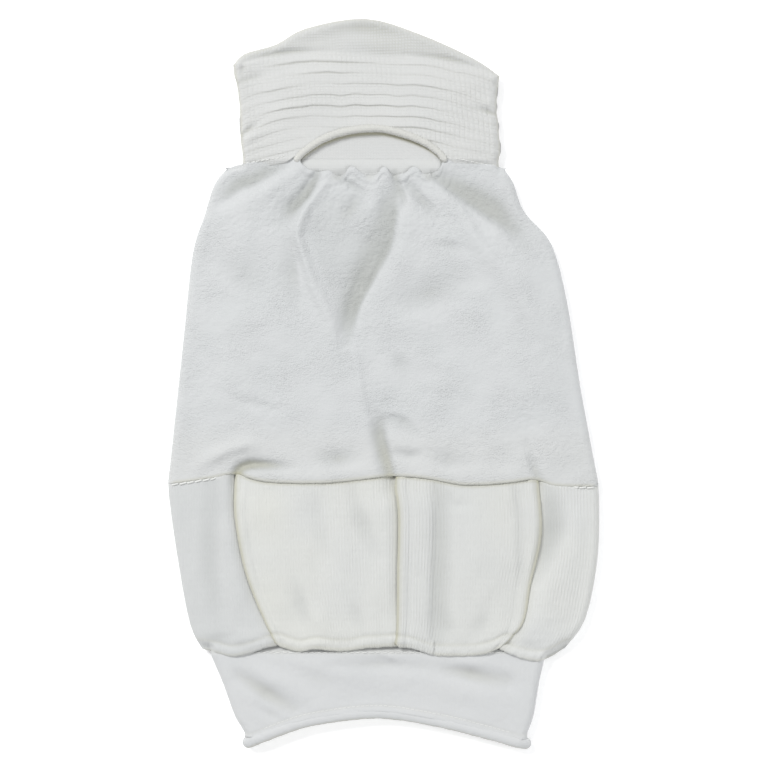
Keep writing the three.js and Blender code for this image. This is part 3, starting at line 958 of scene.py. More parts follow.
def face_rim():
    """The rolled edge over the face opening."""
    arch = np.stack([ARCH_X, ARCH_Y], 1)
    along = np.gradient(arch, axis=0)
    along /= np.linalg.norm(along, axis=1, keepdims=True)
    centre = arch + (RIM_RADIUS + 0.4) * np.stack([along[:, 1], -along[:, 0]], 1)
    keep = (centre[:, 0] > -80.5) & (centre[:, 0] < 57)
    centre = curve(centre[keep][::3], 6)
    share = np.linspace(0, 1, len(centre))
    height = 16.4 + 0.8 * np.sin(math.pi * share) + 0.3 * noise(share * 14, share * 0, 91)
    size = RIM_RADIUS * (0.92 + 0.20 * np.sin(math.pi * share)) * (1 + 0.05
        * noise(share * 30, share * 0, 92))

    def bumps(where, turn):
        return 0.09 * np.sin(turn * 5 + where * 1.7) + 0.07 * np.sin(turn * 3 - where
            * 2.3) + 0.04 * math.sin(where * 2.9)

    co, faces = tube(np.column_stack([centre, height]), size, 20, 0.95, 5, bumps)
    line = np.column_stack([centre, height])
    nearest = np.argmin(((co[:, None, :2] - line[None, :, :2]) ** 2).sum(2), 1)
    low = (line[nearest, 2] - co[:, 2]) / RIM_RADIUS
    beside = (line[nearest, 1] - co[:, 1]) / RIM_RADIUS
    # Painted olive shade on the roll's underside, towards the opening.
    crease_shade = 0.06 + 0.9 * smooth((low + 0.55 * beside - 0.10) / 0.7)
    return make_object("face_opening_rim_roll", co, faces, WAFFLE, {"crease_shade": crease_shade, "warm": 0.45})


def back_neck_seam():
    """The ribbed tape over the back neck seam, seen through the face opening."""
    us, vs = spaced(234, 0.7), spaced(22, 1.0)
    low, high, start, end = 187.0, 209.0, -128.0, 104.5
    left, right = np.array([[start, low], [start, high]]), np.array([[end, low], [end, high]])
    bottom, top = np.array([[start, low], [end, low]]), np.array([[start, high], [end, high]])
    x, y = patch(left, right, bottom, top, us, vs)
    d = side_distance(HOOD_SIDES, x, np.maximum(y, 207))
    z = back_height(np.maximum(d, 3)) + lift(x, np.maximum(y, 200)) + 4.0 - 1.4 * smooth((y - 203) / 6)
    under = np.minimum(z, terry_height(x, np.minimum(y, 194), 50 + 0 * x) - LAYER_TERRY - 1.1)
    z = under + (z - under) * smooth((y - 192) / 9)
    ribs = np.cos(2 * math.pi * x / 2.1) * smooth((y - 198) / 3) * smooth((209 - y) / 2)
    # Painted shade in the grooves between the ribs.
    masks = {"crease_shade": 0.03 + 0.03 * ribs, "warm": 0.1}
    return sheet_mesh("back_neck_tape", np.stack([x, y, z], -1), 0.9, ELASTIC, masks, 0.10 * ribs)


def elastic_band():
    """The elastic inside the neckline casing, gathered into small ripples."""
    xs = np.linspace(-66, 50, 320)
    neck = curve([(-80, 206), (-74, 200), (-66, 196.5), (-50, 196.5), (-30, 197.5), (0, 197.5), (30, 197.5),
                  (44, 198),
                  (52, 201), (58, 206)], 12)
    top = np.interp(xs, neck[:, 0], neck[:, 1])
    offsets = np.linspace(-13, -1, 14)
    x = np.broadcast_to(xs, (14, 320)).copy()
    y = top[None] + offsets[:, None]
    z = terry_height(x, np.minimum(y, 193), 50.0 + 0 * x) - LAYER_TERRY - 0.4 + 0.10 * np.sin(xs * 1.9)[None]
    # Painted shade in the ripples.
    crease_shade = 0.04 + 0.03 * np.sin(xs * 1.9)[None]
    return sheet_mesh("neckline_elastic_band", np.stack([x, y, z], -1), 0.6, ELASTIC, {"crease_shade": crease_shade})


# ---- Rib-knit section ----
PLEAT_Y = np.linspace(-246, -99, 60)
LEFT_PLEAT = sides_of("left_rib_side_panel", PLEAT_Y, 1, 1)
CENTRE_PLEAT = sides_of("left_rib_centre_panel", PLEAT_Y, 1, 1)
RIGHT_PLEAT = sides_of("right_rib_centre_panel", PLEAT_Y, 1, 1)


def pleat_line(xs, low, high, shift, count=60):
    ys = np.linspace(low, high, count)
    reach = np.interp(ys, PLEAT_Y, xs)
    slope = (xs[1] - xs[0]) / (PLEAT_Y[1] - PLEAT_Y[0])
    reach = np.where(ys < PLEAT_Y[0], xs[0] + (ys - PLEAT_Y[0]) * slope * 0.6, reach)
    return np.stack([reach + shift, ys], 1)


RIB_FOLDS = [
    # Left side panel
    ([(-158, -98), (-161, -150), (-157, -200), (-148, -232)], [-1.2, -2.2, -2.0, -0.8], 9, 12),
    ([(-170, -236), (-158, -238), (-140, -236)], [-0.5, -1.6, -0.5], 6),
    ([(-150, -220), (-132, -236), (-112, -240)], [0.6, 1.4, 0.5], 9, 7),
    # Left centre panel
    ([(-116, -112), (-108, -160), (-92, -210)], [0.6, 1.4, 0.6], [13, 14], [12, 13]),
    ([(-84, -178), (-77, -203), (-66, -228)], [-0.6, -2.6, -1.2], 8, 9),
    ([(-70, -206), (-58, -222), (-48, -232)], [0.5, 1.6, 0.6], 8, 7),
    ([(-62, -100), (-58, -130), (-46, -176)], [-0.6, -1.6, -0.4], [9, 10], [12, 14]),
    ([(-46, -110), (-38, -150), (-28, -200)], [0.4, 1.3, 0.5], [12, 13]),
    ([(-34, -192), (-25, -214), (-17, -232)], [-0.4, -2.0, -1.0], 7, 8),
    ([(-8, -170), (-8, -200), (-8, -228)], [0.4, 1.0, 0.5], 7, 9),
    ([(-30, -98), (-19, -130), (-6, -162)], [-1.2, -2.6, -0.8], 8, 12),
    # Right centre panel, with the raised strip beside the middle pleat
    ([(30, -98), (32, -150), (30, -234)], [1.0, 1.8, 1.4], 15, 14),
    ([(48, -96), (50, -130), (48.5, -180), (47, -236)], [-2.4, -3.8, -3.8, -2.8], [12, 14, 14, 12],
     [5, 5.5, 5.5, 5]),
    ([(62, -104), (68, -112), (84, -114)], [-0.4, -1.0, -0.3], [4, 5]),
    ([(76, -124), (86, -160), (92, -200)], [0.5, 1.6, 0.6], [15, 16]),
    ([(98, -204), (90, -224), (78, -238)], [-0.6, -2.0, -0.8], 9, 8),
    ([(56, -210), (60, -226), (72, -240)], [-0.4, -1.4, -0.5], 7),
    ([(117, -95), (124, -104), (126.5, -135), (127, -172), (129, -198)], [-1.2, -1.6, -1.6, -1.4, -0.5],
     [5, 6], [3.6, 4]),
    # Right side panel: a deep dart beside its pleat, then the bulge of the side
    ([(147, -92), (153, -112), (155, -135), (148, -160), (141, -182)], [-1.6, -4.0, -4.6, -3.4, -1.2],
     [12, 15, 16, 13, 9], [7, 8, 9, 7, 5]),
    ([(178, -120), (176, -160), (170, -200)], [0.6, 1.6, 0.8], [10, 12], [12, 14]),
    ([(150, -196), (150, -220), (158, -240)], [0.8, 1.8, 0.5], 12, [9, 10]),
    ([(122, -236), (138, -244), (152, -244)], [-0.8, -1.8, -0.5], 6),
]


def panel_height(x, y, d):
    return front_height(d, FRONT) + (folds_of(RIB_FOLDS, x, y) + 1.0
        * fractal(x / 30, y / 40, 33, 2)) * smooth(d / 14)


# What brings the panels to the height of the terry along the waist seam.
SEAM_X = np.linspace(-200, 200, 401)
SEAM_Y = waist_y(SEAM_X)
SEAM_TERRY = terry_height(SEAM_X, SEAM_Y + 2.6, side_distance(BODY_SIDES, SEAM_X, SEAM_Y + 2.6))
SEAM_PANEL = panel_height(SEAM_X, SEAM_Y, side_distance(RIB_SIDES, SEAM_X, SEAM_Y))
SEAM_STEP = SEAM_TERRY - SEAM_PANEL - 2.0 * overhang(SEAM_X)


def ended(line, corner):
    """The line, cut or lengthened to end at that corner."""
    return np.vstack([line[line[:, 1] < corner[1] - 1], corner])


TUCK_DEPTH = 3.4


def past_hem(x):
    """1 beyond the sides of the hem, where the two layers of the rib knit close at the lower edge."""
    left, right = [np.interp(HEM_FOLD - 1, ys, xs) for ys, xs in HEM_SIDES]
    return smooth((left + 5 - x) / 7) + smooth((x - right + 5) / 7)


def rib_panel(name, left, right, bottom, ribs, lips, tucks, rib_fade=None, warm=0.0, ground=0.0, step=0.5):
    """One front panel. lips are its sides that roll under; tucks its sides that pass under the next panel."""
    top = xs_line(lambda v: waist_y(v) + 4.5, left[-1, 0], right[-1, 0])
    left, right = ended(left, top[0]), ended(right, top[-1])
    width = np.mean(right[:, 0]) - np.mean(left[:, 0])
    outer = [EDGE_RADIUS if side in name else 0 for side in ("left_side", "right_side")]
    us, vs = spaced(width, step, *outer), spaced(155, 1.5)
    x, y = patch(left, right, bottom, top, us, vs)
    d = side_distance(RIB_SIDES, x, np.maximum(y, -245))
    for side in ("left", "right"):
        if f"{side}_side" in name:
            d = np.minimum(d, own_edges(x, y, side))
    edge = np.interp(x, bottom[:, 0], bottom[:, 1])
    inner = smooth(d / 14)
    folds = folds_of(RIB_FOLDS, x, y)
    z = panel_height(x, y, d) + np.interp(x, SEAM_X, SEAM_STEP) * smooth(1 - (waist_y(x) - y) / 30)
    z -= 1.6 * smooth((y - waist_y(x) - 1.4) / 1.6)
    # The lower edge is gathered into a bead, which hangs over the hem.
    over = y - edge
    bead = 1.5 * bell(over - 3, 3.2) - 1.0 * bell(over - 8.5, 1.6)
    z += (1.2 * bell(over - 12, 9) + bead * (0.75 + 0.4 * noise(x / 16, y / 40, 38))) * inner
    from_left, from_right = us[None] * width, (1 - us[None]) * width
    tucked = 0 * x
    for side, away in (("left", from_left), ("right", from_right)):
        if side in tucks:
            tucked = tucked + smooth((16 - away) / 13)
            depth = TUCK_DEPTH * (0.55 if "right_side" in name else 1.0)
            z -= depth * smooth((16 - away) / 13) * (0.4 + 0.6 * smooth((y + 240) / 50))
        if side in lips:
            z += 1.1 * bell(away - 4.5, 3.6) - 0.5 * bell(away - 11, 3)
    phase = us[None] * width / RIB_PITCH + 0 * x
    strength = np.full(x.shape, ribs) if rib_fade is None else ribs * rib_fade(x, y)
    groove = (1 - np.abs(np.sin(math.pi * phase))) ** 1.6
    relief = -strength * groove * smooth(d / 3) * (0.8 + 0.35 * noise(x / 14, y / 22, 37))
    relief = relief + 0.07 * noise(x / 1.4, y / 1.6, 39) + 0.10 * noise(x / 5, y / 3.2, 36)
    relief = relief + 0.40 * noise(x / 2.4, y / 9, 34) * bell(over - 3, 4)
    relief = relief * smooth(d / 2)
    z += past_hem(x) * smooth(1 - over / SHUT) * np.minimum(CORNER_SHUT - z, 0)
    # Painted olive shade in the rib grooves, under the terry's overhang, on the tucked cloth, in fold
    # valleys, under the bead and at the rolled lips.
    crease_shade = 0.22 * strength * groove
    crease_shade = crease_shade + (0.04 + 0.34 * overhang(x)) * smooth((y - waist_y(x) + 2.2) / 3.2)
    crease_shade = crease_shade + 0.26 * tucked**2 * (0.5 + 0.5 * smooth((y + 200) / 80))
    crease_shade = crease_shade + 0.06 * np.clip(-(folds + 1.6) / 4, 0, 1) + 0.20 * smooth((1.6 - over) / 1.8)
    crease_shade = crease_shade + 0.16 * bell(over - 8.5, 1.3)
    for side, away in (("left", from_left), ("right", from_right)):
        if side in lips:
            crease_shade = crease_shade + 0.25 * smooth((1.4 - away) / 1.6) + 0.28 * bell(away, 3.0)
    warm = np.full(x.shape, warm) * (0.75 + 0.4 * noise(x / 36, y / 40, 35))
    # Painted grey shade in fold valleys, over a painted shade, ground, laid evenly over the whole panel.
    shade = ground + 0.55 * np.clip(-(folds + 0.5) / 4.6, 0, 1) * inner
    points = lip(np.stack([x, y, z], -1), "bottom", 3.0, 115)
    pads = [[6, 0], [0, 0]]
    for side in lips:
        points = lip(points, side, 1.9, 120)
        pads[1][0 if side == "left" else 1] = 6
    grow = [np.pad(np.broadcast_to(value, x.shape), pads, mode="edge")
            for value in (relief, crease_shade, warm, shade)]
    masks = {"crease_shade": np.clip(grow[1], 0, 1), "warm": np.clip(grow[2], 0, 1), "shade": grow[3]}
    return sheet_mesh(name, points, LAYER_RIB, RIB, masks, grow[0])


def rib_front():
    left_side, right_side = edge_line(RIB_SIDES[0], -246.5, -93, 60), edge_line(RIB_SIDES[1], -246.5, -95, 60)
    left_bottom = curve([(left_side[0, 0], -246.5), (-154, -249), (-145, -251.5), (-136, -251.5),
                         (-122, -248), (-108, -243),
                         (-92, -241)], 6)
    centre_left_bottom = curve([(-96, -241), (-86, -244.5), (-76, -246.5), (-62, -244), (-48, -245.6),
        (-34, -246), (-18, -243.4), (-6, -242.5), (14, -241)], 6)
    centre_right_bottom = curve([(8, -242), (22, -243), (34, -246.5), (46, -250.5), (58, -251), (78, -251),
        (92, -249.5), (102, -246.5), (112, -241.5)], 6)
    right_bottom = curve([(102, -243.5), (116, -249.5), (130, -254.5), (146, -256.5), (158, -252.5),
                          (right_side[0, 0], -246.5)], 6)

    def near(lines, reach, least):
        return lambda x, y: np.clip(sum(bell(x - v, reach) for v in lines) + least, 0, 1)

    # Each panel's ground is a painted shade laid evenly over it.
    return [
        rib_panel("rib_left_side", left_side, pleat_line(LEFT_PLEAT, -241, -91, 6.0), left_bottom, 0.10, (),
                  ("right",),
                  near((-150, -132), 12, 0.5), warm=0.05, ground=0.18, step=0.75),
        rib_panel("rib_left_centre", pleat_line(LEFT_PLEAT, -241, -90, 1.4),
                  pleat_line(CENTRE_PLEAT, -241, -90, 5.0),
                  centre_left_bottom, 0.30, ("left",), ("right",), near((-8, -26, -46), 14, 0.30), warm=0.80,
                  ground=0.05),
        rib_panel("rib_right_centre", pleat_line(CENTRE_PLEAT, -242, -90, 1.4),
                  pleat_line(RIGHT_PLEAT, -241.5, -91, -1.4),
                  centre_right_bottom, 0.34, ("left", "right"), (), near((20, 34, 48, 118, 134), 12, 0.28),
                  warm=0.55, ground=0.08),
        rib_panel("rib_right_side", pleat_line(RIGHT_PLEAT, -243.5, -91, -6.0), right_side, right_bottom,
                  0.42, (), ("left",),
                  near((178, 196), 22, 0.30), warm=0.45),
    ]


def rib_back():
    left, right = edge_line(RIB_SIDES[0], -247, -95, 60), edge_line(RIB_SIDES[1], -247, -98, 60)
    bottom = np.array([[left[0, 0], -247.0], [0, -250], [right[0, 0], -247]])
    top = xs_line(lambda v: waist_y(v) + 5.0, left[-1, 0], right[-1, 0])
    left, right = ended(left, top[0]), ended(right, top[-1])
    us, vs = spaced(RIB_ACROSS, 0.8, EDGE_RADIUS, EDGE_RADIUS), spaced(150, 2.4)
    x, y = patch(left, right, bottom, top, us, vs)
    d = np.minimum(side_distance(RIB_SIDES, x, np.maximum(y, -245)), own_edges(x, y, "left", "right"))
    z = back_layer(x, y, d, 47)
    z = np.maximum(z, past_hem(x) * back_height(own_edges(x, y, "bottom")))
    # The upper edge lies inside the body, and is sewn to it there.
    points = set_in(np.stack([x, y, z], -1), (LAYER_TERRY + 0.3) * smooth((y - waist_y(x) + 1.6) / 2.2))
    phase = us[None] * RIB_ACROSS / RIB_PITCH
    relief = 0.3 * (np.abs(np.sin(math.pi * phase)) ** 0.8 - 1.0) * smooth(d / 3)
    # Painted shade in the rib grooves.
    masks = {"crease_shade": 0.06 * (1 - np.abs(np.sin(math.pi * phase))), "warm": 0.1}
    return sheet_mesh("rib_back", points, LAYER_RIB, RIB, masks, relief + 0 * x, flip=True)


UNDERLAY_WIDTH, UNDERLAY_HEIGHT = 22, 11.2  # the second is how high it lies
HALF = [UNDERLAY_WIDTH / 2, 0]


def pleat_underlays():
    """The cloth folded away behind each pleat."""
    made = []
    for name, xs in (("left", LEFT_PLEAT), ("centre", CENTRE_PLEAT), ("right", RIGHT_PLEAT)):
        centre = pleat_line(xs, -244, -102, 0)
        us, vs = spaced(UNDERLAY_WIDTH, 0.75), spaced(142, 3.0)
        left, right = centre - HALF, centre + HALF
        x, y = patch(left, right, np.array([left[0], right[0]]), np.array([left[-1], right[-1]]), us, vs)
        z = UNDERLAY_HEIGHT + 0.4 * noise(x / 9, y / 20, 57)
        relief = 0.3 * np.abs(np.sin(math.pi * us[None] * UNDERLAY_WIDTH / RIB_PITCH)) + 0 * x
        # The folded-away cloth is painted evenly with olive shade.
        masks = {"crease_shade": 0.45, "warm": 0.3}
        made.append(sheet_mesh(f"{name}_pleat_cloth", np.stack([x, y, z], -1), LAYER_RIB, RIB, masks, relief))
    return made


# ---- Hem ----
HEM_FULL = 16.5
HEM_X = np.linspace(-124, 131, 80)
HEM_Y = sides_of("hem_front_band", HEM_X, 0, 0)
HEM_ROLL = half_height("hem_back_roll")


def hem_edge(x):
    return np.interp(x, HEM_X, HEM_Y)


HEM_FOLDS = [
    ([(-134, -272), (-112, -286), (-84, -303)], [-1.8, -4.8, -1.8], [7, 8], [6, 7]),
    ([(-126, -262), (-100, -276), (-76, -290)], [0.6, 1.8, 0.6], [8, 9], [7, 8]),
    ([(-118, -300), (-104, -308), (-92, -314)], [-0.5, -1.6, -0.5], [5, 6], [4, 5]),
    ([(50, -266), (76, -269), (112, -278)], [-1.0, -4.6, -1.6], [6, 7], [7, 8]),
    ([(68, -258), (92, -260), (116, -266)], [0.6, 1.6, 0.6], 6),
    ([(40, -263), (0, -261), (-50, -263)], [-1.2, -2.0, -0.8], 6),
    ([(112, -270), (124, -292), (128, -312)], [0.3, 1.2, 0.5], [8, 9]),
    ([(-6, -247), (8, -254), (20, -258)], [0.8, 2.4, 0.6], [5, 6]),
    ([(-100, -256), (-70, -262), (-40, -266)], [0.4, 1.2, 0.3], 8),
    ([(-60, -292), (-10, -288), (50, -296)], [-0.3, -1.2, -0.3], 10),
    ([(-96, -262), (-60, -274), (-30, -280)], [-0.4, -1.6, -0.3], [7, 8], [9, 10]),
    ([(44, -278), (80, -288), (104, -304)], [0.3, 1.5, 0.4], [10, 11]),
    ([(98, -262), (118, -276), (128, -296)], [-0.4, -1.8, -0.4], [5, 6], [7, 8]),
]
ROLL_HALF = 5.4  # half the height of the rolled edge as seen from above
ROLL_FLAT = 0.80
STITCH_LINE = 7.4  # from the middle of the roll up to the row of hem stitches


def roll_centre(x):
    """The middle line of the rolled edge, along which its two layers are turned."""
    return hem_edge(np.clip(x, -124, 131)) - HEM_ROLL + 1.3


def hem_grid(step_x, step_y):
    """The grid that both layers of the hem share, from under the panels to the middle of the roll."""
    high = HEM_FOLD + 16
    left, right = edge_line(HEM_SIDES[0], -329, high, 50), edge_line(HEM_SIDES[1], -331, high, 50)
    middle = [(v, float(roll_centre(v))) for v in np.linspace(-112, 118, 20)]
    bottom = curve([(left[0, 0], -329)] + middle + [(right[0, 0], -331)], 5)
    top = np.array([[left[-1, 0], high], [right[-1, 0], high]])
    return patch(left, right, bottom, top, spaced(290, step_x, EDGE_RADIUS, EDGE_RADIUS), spaced(79, step_y))


def hem_front():
    x, y = hem_grid(1.1, 0.8)
    d = inward(HEM_SIDES, x, y)
    folds = folds_of(HEM_FOLDS, x, y)
    z = front_height(d, HEM_FULL) + (folds + 0.6 * fractal(x / 38, y / 26, 53, 2)) * smooth(d / 12)
    z -= 5.0 * smooth((y + 252) / 12) * smooth(d / 8)
    above = y - roll_centre(x)
    groove = bell(above - STITCH_LINE, 1.7)
    z -= (0.32 * groove + 2.2 * smooth((2.4 - above) / 3)) * smooth(d / 6)
    relief = 0.06 * noise(x / 1.7, y / 1.4, 55) + 0.10 * noise(x / 4, y / 3.5, 54)
    # Painted olive shade in the stitch groove, under the panels' edges and in fold valleys; painted grey
    # shade in fold valleys.
    crease_shade = 0.07 * groove + 0.10 * smooth((y + 254) / 5) + 0.14 * np.clip(-(folds + 1.0) / 3, 0, 1)
    shade = 0.34 * np.clip(-(folds + 0.2) / 4.5, 0, 1)
    masks = {"crease_shade": np.clip(crease_shade, 0, 1), "warm": 0.05, "shade": shade}
    return sheet_mesh("hem_front", np.stack([x, y, z], -1), LAYER_JERSEY, JERSEY, masks, relief)


def hem_back():
    x, y = hem_grid(2.0, 1.6)
    d = inward(HEM_SIDES, x, y)
    z = back_layer(x, y, d, 49)
    relief = 0.05 * noise(x / 2.6, y / 2.3, 59)
    masks = {"warm": 0.05}
    # The upper edge lies inside the rib knit.
    points = set_in(np.stack([x, y, z], -1), (LAYER_RIB + 0.3) * smooth((y + 252.0) / 3.0))
    return sheet_mesh("hem_back", points, LAYER_JERSEY, JERSEY, masks, relief, flip=True)


def hem_rolls():
    """The rolled edge, front and back, closed round at the two corners."""
    made = []
    xs = np.linspace(-126.0, 132.4, 150)
    ys = roll_centre(xs) - 1.2 * smooth((-122 - xs) / 6) - 1.2 * smooth((xs - 128) / 6)
    reach = np.minimum(xs + 129.5, 135.5 - xs)
    for name, middle in (("front", 12.4), ("back", 4.6)):
        height = 7.4 + (middle - 7.4) * smooth(reach / 12)
        width = ROLL_HALF * (1 + 0.04 * noise(xs / 9, xs * 0, 93))

        def bumps(where, turn):
            return 0.02 * np.sin(turn * 3 + where * 0.9) + 0.02 * math.sin(where * 2.1)

        co, faces = tube(np.column_stack([xs, ys, height]), width, 22, ROLL_FLAT, 6, bumps)
        co[:, 2] = np.maximum(co[:, 2], 0.15)
        nearest = np.clip(np.searchsorted(xs, co[:, 0]), 0, len(xs) - 1)
        above = (co[:, 1] - ys[nearest]) / ROLL_HALF
        # Painted olive shade at the roll's top and on its underside.
        crease_shade = 0.10 * smooth((above - 0.6) / 0.4) + 0.30 * smooth((-above - 0.55) / 0.4)
        made.append(make_object(f"hem_roll_{name}", co, faces, JERSEY, {"crease_shade": crease_shade, "warm": 0.05}))
    return made


# ---- Stitching ----
def stitches(name, line, length, gap, radius, slant=0.0, wander=0.25):
    """A row of raised thread stitches along a line of (x, y, z)."""
    line = np.array(line, float)
    steps = np.concatenate([[0], np.cumsum(np.linalg.norm(np.diff(line, axis=0), axis=1))])
    parts, at, k = [], gap, 0
    while at + length < steps[-1]:
        marks = np.linspace(at, at + length, 5)
        p = np.stack([np.interp(marks, steps, line[:, axis]) for axis in range(3)], 1)
        side = np.linspace(-1, 1, 5)
        jitter = wander * (lattice(k, 3, 7) - 0.5)
        p[:, 1] += slant * side + jitter
        p[:, 2] += 0.25 * radius * (1 - side**2)
        parts.append(tube(p, radius * (0.9 + 0.2 * lattice(k, 5, 7)), 7, 0.8, 2))
        at += length + gap * (0.8 + 0.4 * lattice(k, 9, 7))
        k += 1
    co, faces = joined(parts)
    return make_object(name, co, faces, THREAD, {"crease_shade": 0.05, "warm": 0.1})


def resting(surface, xs, ys, above):
    """Points over a line, at the height that a built piece has there plus `above`."""
    tree = BVHTree.FromPolygons([v.co for v in surface.data.vertices],
        [tuple(p.vertices) for p in surface.data.polygons])
    found = []
    for x, y in zip(xs, ys):
        hit = tree.ray_cast(Vector((x * MM, y * MM, 0.2)), Vector((0, 0, -1)))[0]
        if hit is not None:
            found.append((x, y, hit.z / MM + above))
    return found


# ---- Stage ----
FLOOR_GLOW = 0.22  # keeps the floor white beside the garment, at the cost of most of its shadow
FLOOR_HALF = 4000


def stage():
    corners = FLOOR_HALF * np.array([[-1, -1, 0], [1, -1, 0], [1, 1, 0], [-1, 1, 0]], float)
    floor = make_object("floor", corners, [[0, 1, 2, 3]], floor_material())


def floor_material():
    material = bpy.data.materials.new("floor")
    material.use_nodes = True
    shader = material.node_tree.nodes["Principled BSDF"]
    shader.inputs["Base Color"].default_value = (0.95, 0.95, 0.95, 1)
    shader.inputs["Emission Color"].default_value = (1, 1, 1, 1)
    shader.inputs["Emission Strength"].default_value = FLOOR_GLOW
    shader.inputs["Roughness"].default_value = 0.9
    shader.inputs["Specular IOR Level"].default_value = 0.1
    return material


VIEW_WIDTH = 713.3  # what the camera sees across
LENS = 130.0
SENSOR = 36
KEY_POWER, FILL_POWER = 300, 110


def camera():
    data = bpy.data.cameras.new("camera")
    data.lens, data.sensor_width = LENS, SENSOR
    data.clip_end = 50
    eye = bpy.data.objects.new("camera", data)
    eye.location = (0, 0, (VIEW_WIDTH * LENS / SENSOR + 14) * MM)
    bpy.context.scene.collection.objects.link(eye)
    bpy.context.scene.camera = eye


def area_light(name, place, size, power, colour):
    data = bpy.data.lights.new(name, "AREA")
    data.shape, data.size, data.energy, data.color = "DISK", size, power, colour
    lamp = bpy.data.objects.new(name, data)
    lamp.location = place
    lamp.rotation_euler = (-Vector(place)).to_track_quat("-Z", "Y").to_euler()
    bpy.context.scene.collection.objects.link(lamp)


def lights():
    area_light("key", (-3.3, 3.2, 4.4), 2.2, KEY_POWER, (1.0, 0.997, 0.99))
    area_light("fill", (3.8, -1.2, 4.0), 3.5, FILL_POWER, (0.99, 0.995, 1.0))
    world = bpy.data.worlds.new("studio")
    world.use_nodes = True
    background = world.node_tree.nodes["Background"]
    background.inputs["Color"].default_value = (0.985, 0.99, 1.0, 1)
    background.inputs["Strength"].default_value = 0.55
    bpy.context.scene.world = world


front = terry_front()
back = terry_back()
hood_outer = hood_front()
hood_inner = hood_back()
rim = face_rim()
tape = back_neck_seam()
elastic = elastic_band()
panels = rib_front()
panel_back = rib_back()
underlays = pleat_underlays()
cuff_front, cuff_back = hem_front(), hem_back()
roll_front, roll_back = hem_rolls()

xs = np.linspace(-198, 198, 400)
seam_y = waist_y(xs)
at_ends = smooth((-150 - xs) / 8) + smooth((xs - 174) / 6)
# The row of stitches shows at both ends of the seam, and lies under the terry between them.
waist_front_stitches = stitches(
    "waist_stitches_front",
    [(x, y + 3.0 - 1.8 * end, h + 0.45 * end - 3.4 * (1 - end))
     for x, y, end, h in zip(xs, seam_y, at_ends, np.interp(xs, SEAM_X, SEAM_TERRY))],
    5.4, 2.0, 0.85, 0.35)
waist_back_stitches = stitches("waist_stitches_back",
    [(x, y + 0.2, 0.75) for x, y in zip(xs[20:-20], seam_y[20:-20])], 4.2, 2.2, 0.5, 0.3)
xs = np.linspace(-112, 120, 240)
hem_line = stitches("hem_stitches", resting(cuff_front, xs, roll_centre(xs) + STITCH_LINE, -0.05), 2.6, 1.6,
                    0.3, 0.1)
xs = np.linspace(-152, 150, 240)
hem_front_stitches = stitches("hem_seam_stitches_front", resting(cuff_front, xs, -250.0 + 0 * xs, 0.3), 4.0,
    2.2, 0.5, 0.3)
hem_back_stitches = stitches("hem_seam_stitches_back", [(x, -249.8, 0.75) for x in xs[6:-6]], 4.0, 2.2, 0.5,
    0.3)


def shoulder(name, start, end, line_x, line_y):
    """The stitches along one shoulder, where the body overlaps the hood."""
    across = np.linspace(start, end, 50)
    return stitches(name, resting(hood_outer, across, np.interp(across, line_x, line_y), 0.1), 3.0, 1.8,
                    0.45, 0.3)


left_shoulder = shoulder("left_shoulder_stitches", -129, -88, [-132, -98, -88], [204.6, 209.4, 213])
right_shoulder = shoulder("right_shoulder_stitches", 66, 105, [64, 88, 108], [210.2, 204.8, 202])

AT_NECK = {front: "terry", back: "terry", hood_outer: "waffle_knit", hood_inner: "waffle_knit",
           rim: "waffle_knit",
           tape: "seam_thread", elastic: "elastic", left_shoulder: "seam_thread",
           right_shoulder: "seam_thread"}
for piece, slot in AT_NECK.items():
    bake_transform(piece)
AT_HEM = {cuff_front: "jersey", cuff_back: "jersey", roll_front: "jersey", roll_back: "jersey",
          hem_line: "seam_thread",
          hem_front_stitches: "seam_thread", hem_back_stitches: "seam_thread"}
for piece, slot in AT_HEM.items():
    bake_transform(piece)
ON_TORSO = {**{p: "rib_knit" for p in panels + underlays + [panel_back]}, waist_front_stitches: "seam_thread",
            waist_back_stitches: "seam_thread"}
for piece, slot in ON_TORSO.items():
    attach(piece, "torso")

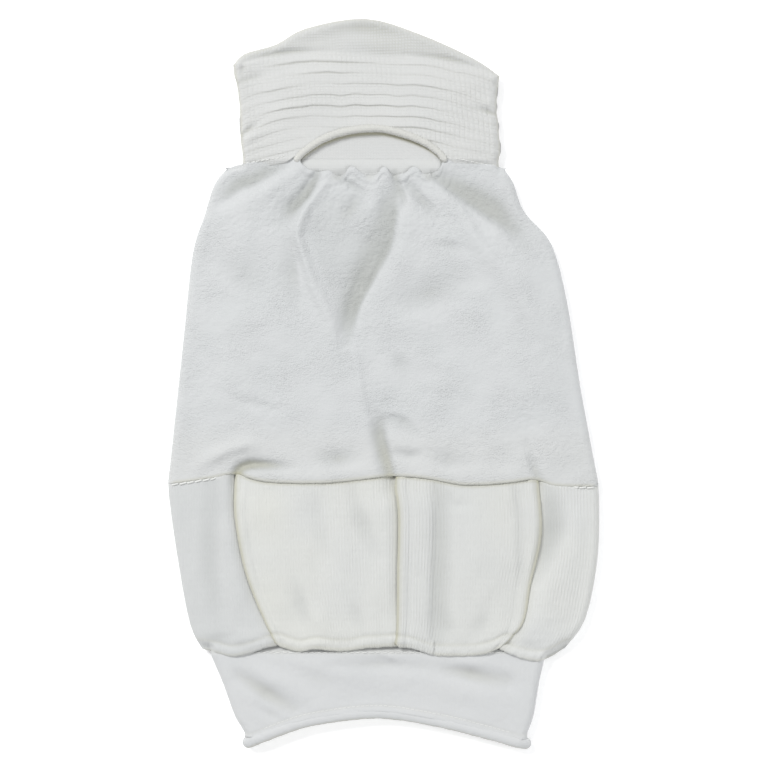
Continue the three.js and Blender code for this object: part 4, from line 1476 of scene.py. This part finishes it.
PLEAT_NODES = ("left_pleat_fold", "centre_pleat_fold", "right_pleat_fold")
REPLACED = {
    front: ("front_body_panel", "left_body_side_seam", "right_body_side_seam", "neckline_casing"),
    back: ("back_body_panel",),
    hood_outer: ("hood_front_band", "hood_crown", "hood_crown_edge", "hood_left_edge", "hood_right_edge"),
    hood_inner: ("hood_back_panel",), rim: ("face_opening_rim",),
    tape: ("back_neck_seam",), elastic: ("neckline_elastic",),
    left_shoulder: ("left_shoulder_seam",), right_shoulder: ("right_shoulder_seam",),
    panels[0]: ("left_rib_side_panel", "left_rib_side_fold"), panels[1]: ("left_rib_centre_panel",),
    panels[2]: ("right_rib_centre_panel",), panels[3]: ("right_rib_side_panel", "right_rib_side_fold"),
    **{piece: (node,) for piece, node in zip(underlays, PLEAT_NODES)}, panel_back: ("rib_back_panel",),
    waist_front_stitches: ("waist_seam_front",), waist_back_stitches: ("waist_seam_back",),
    hem_front_stitches: ("hem_seam_front",), hem_back_stitches: ("hem_seam_back",),
    cuff_front: ("hem_front_band", "hem_left_edge", "hem_right_edge"), cuff_back: ("hem_back_band",),
    roll_front: ("hem_front_roll",), roll_back: ("hem_back_roll",),
}
for piece, nodes in REPLACED.items():
    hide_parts(*nodes)


def cut(piece, nodes, share):
    """Reads the boxes of a layer's CAD nodes.
    `share` is not used."""
    lows, highs = zip(*[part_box(node) for node in nodes])


cut(front, ["front_body_panel"], 0.86)
cut(back, ["back_body_panel"], 0.86)
cut(hood_outer, ["hood_front_band", "hood_crown"], 0.80)
cut(hood_inner, ["hood_back_panel"], 0.86)
cut(tape, ["back_neck_seam"], 1.0)
for panel, share in zip(panels, (0.64, 0.88, 0.89, 0.64)):
    cut(panel, REPLACED[panel][:1], share)
cut(panel_back, ["rib_back_panel"], 0.92)
cut(cuff_front, ["hem_front_band"], 0.76)
cut(cuff_back, ["hem_back_band"], 0.76)

stage()
camera()
lights()
scene = bpy.context.scene
scene.view_settings.view_transform = "Standard"
scene.view_settings.look = "None"
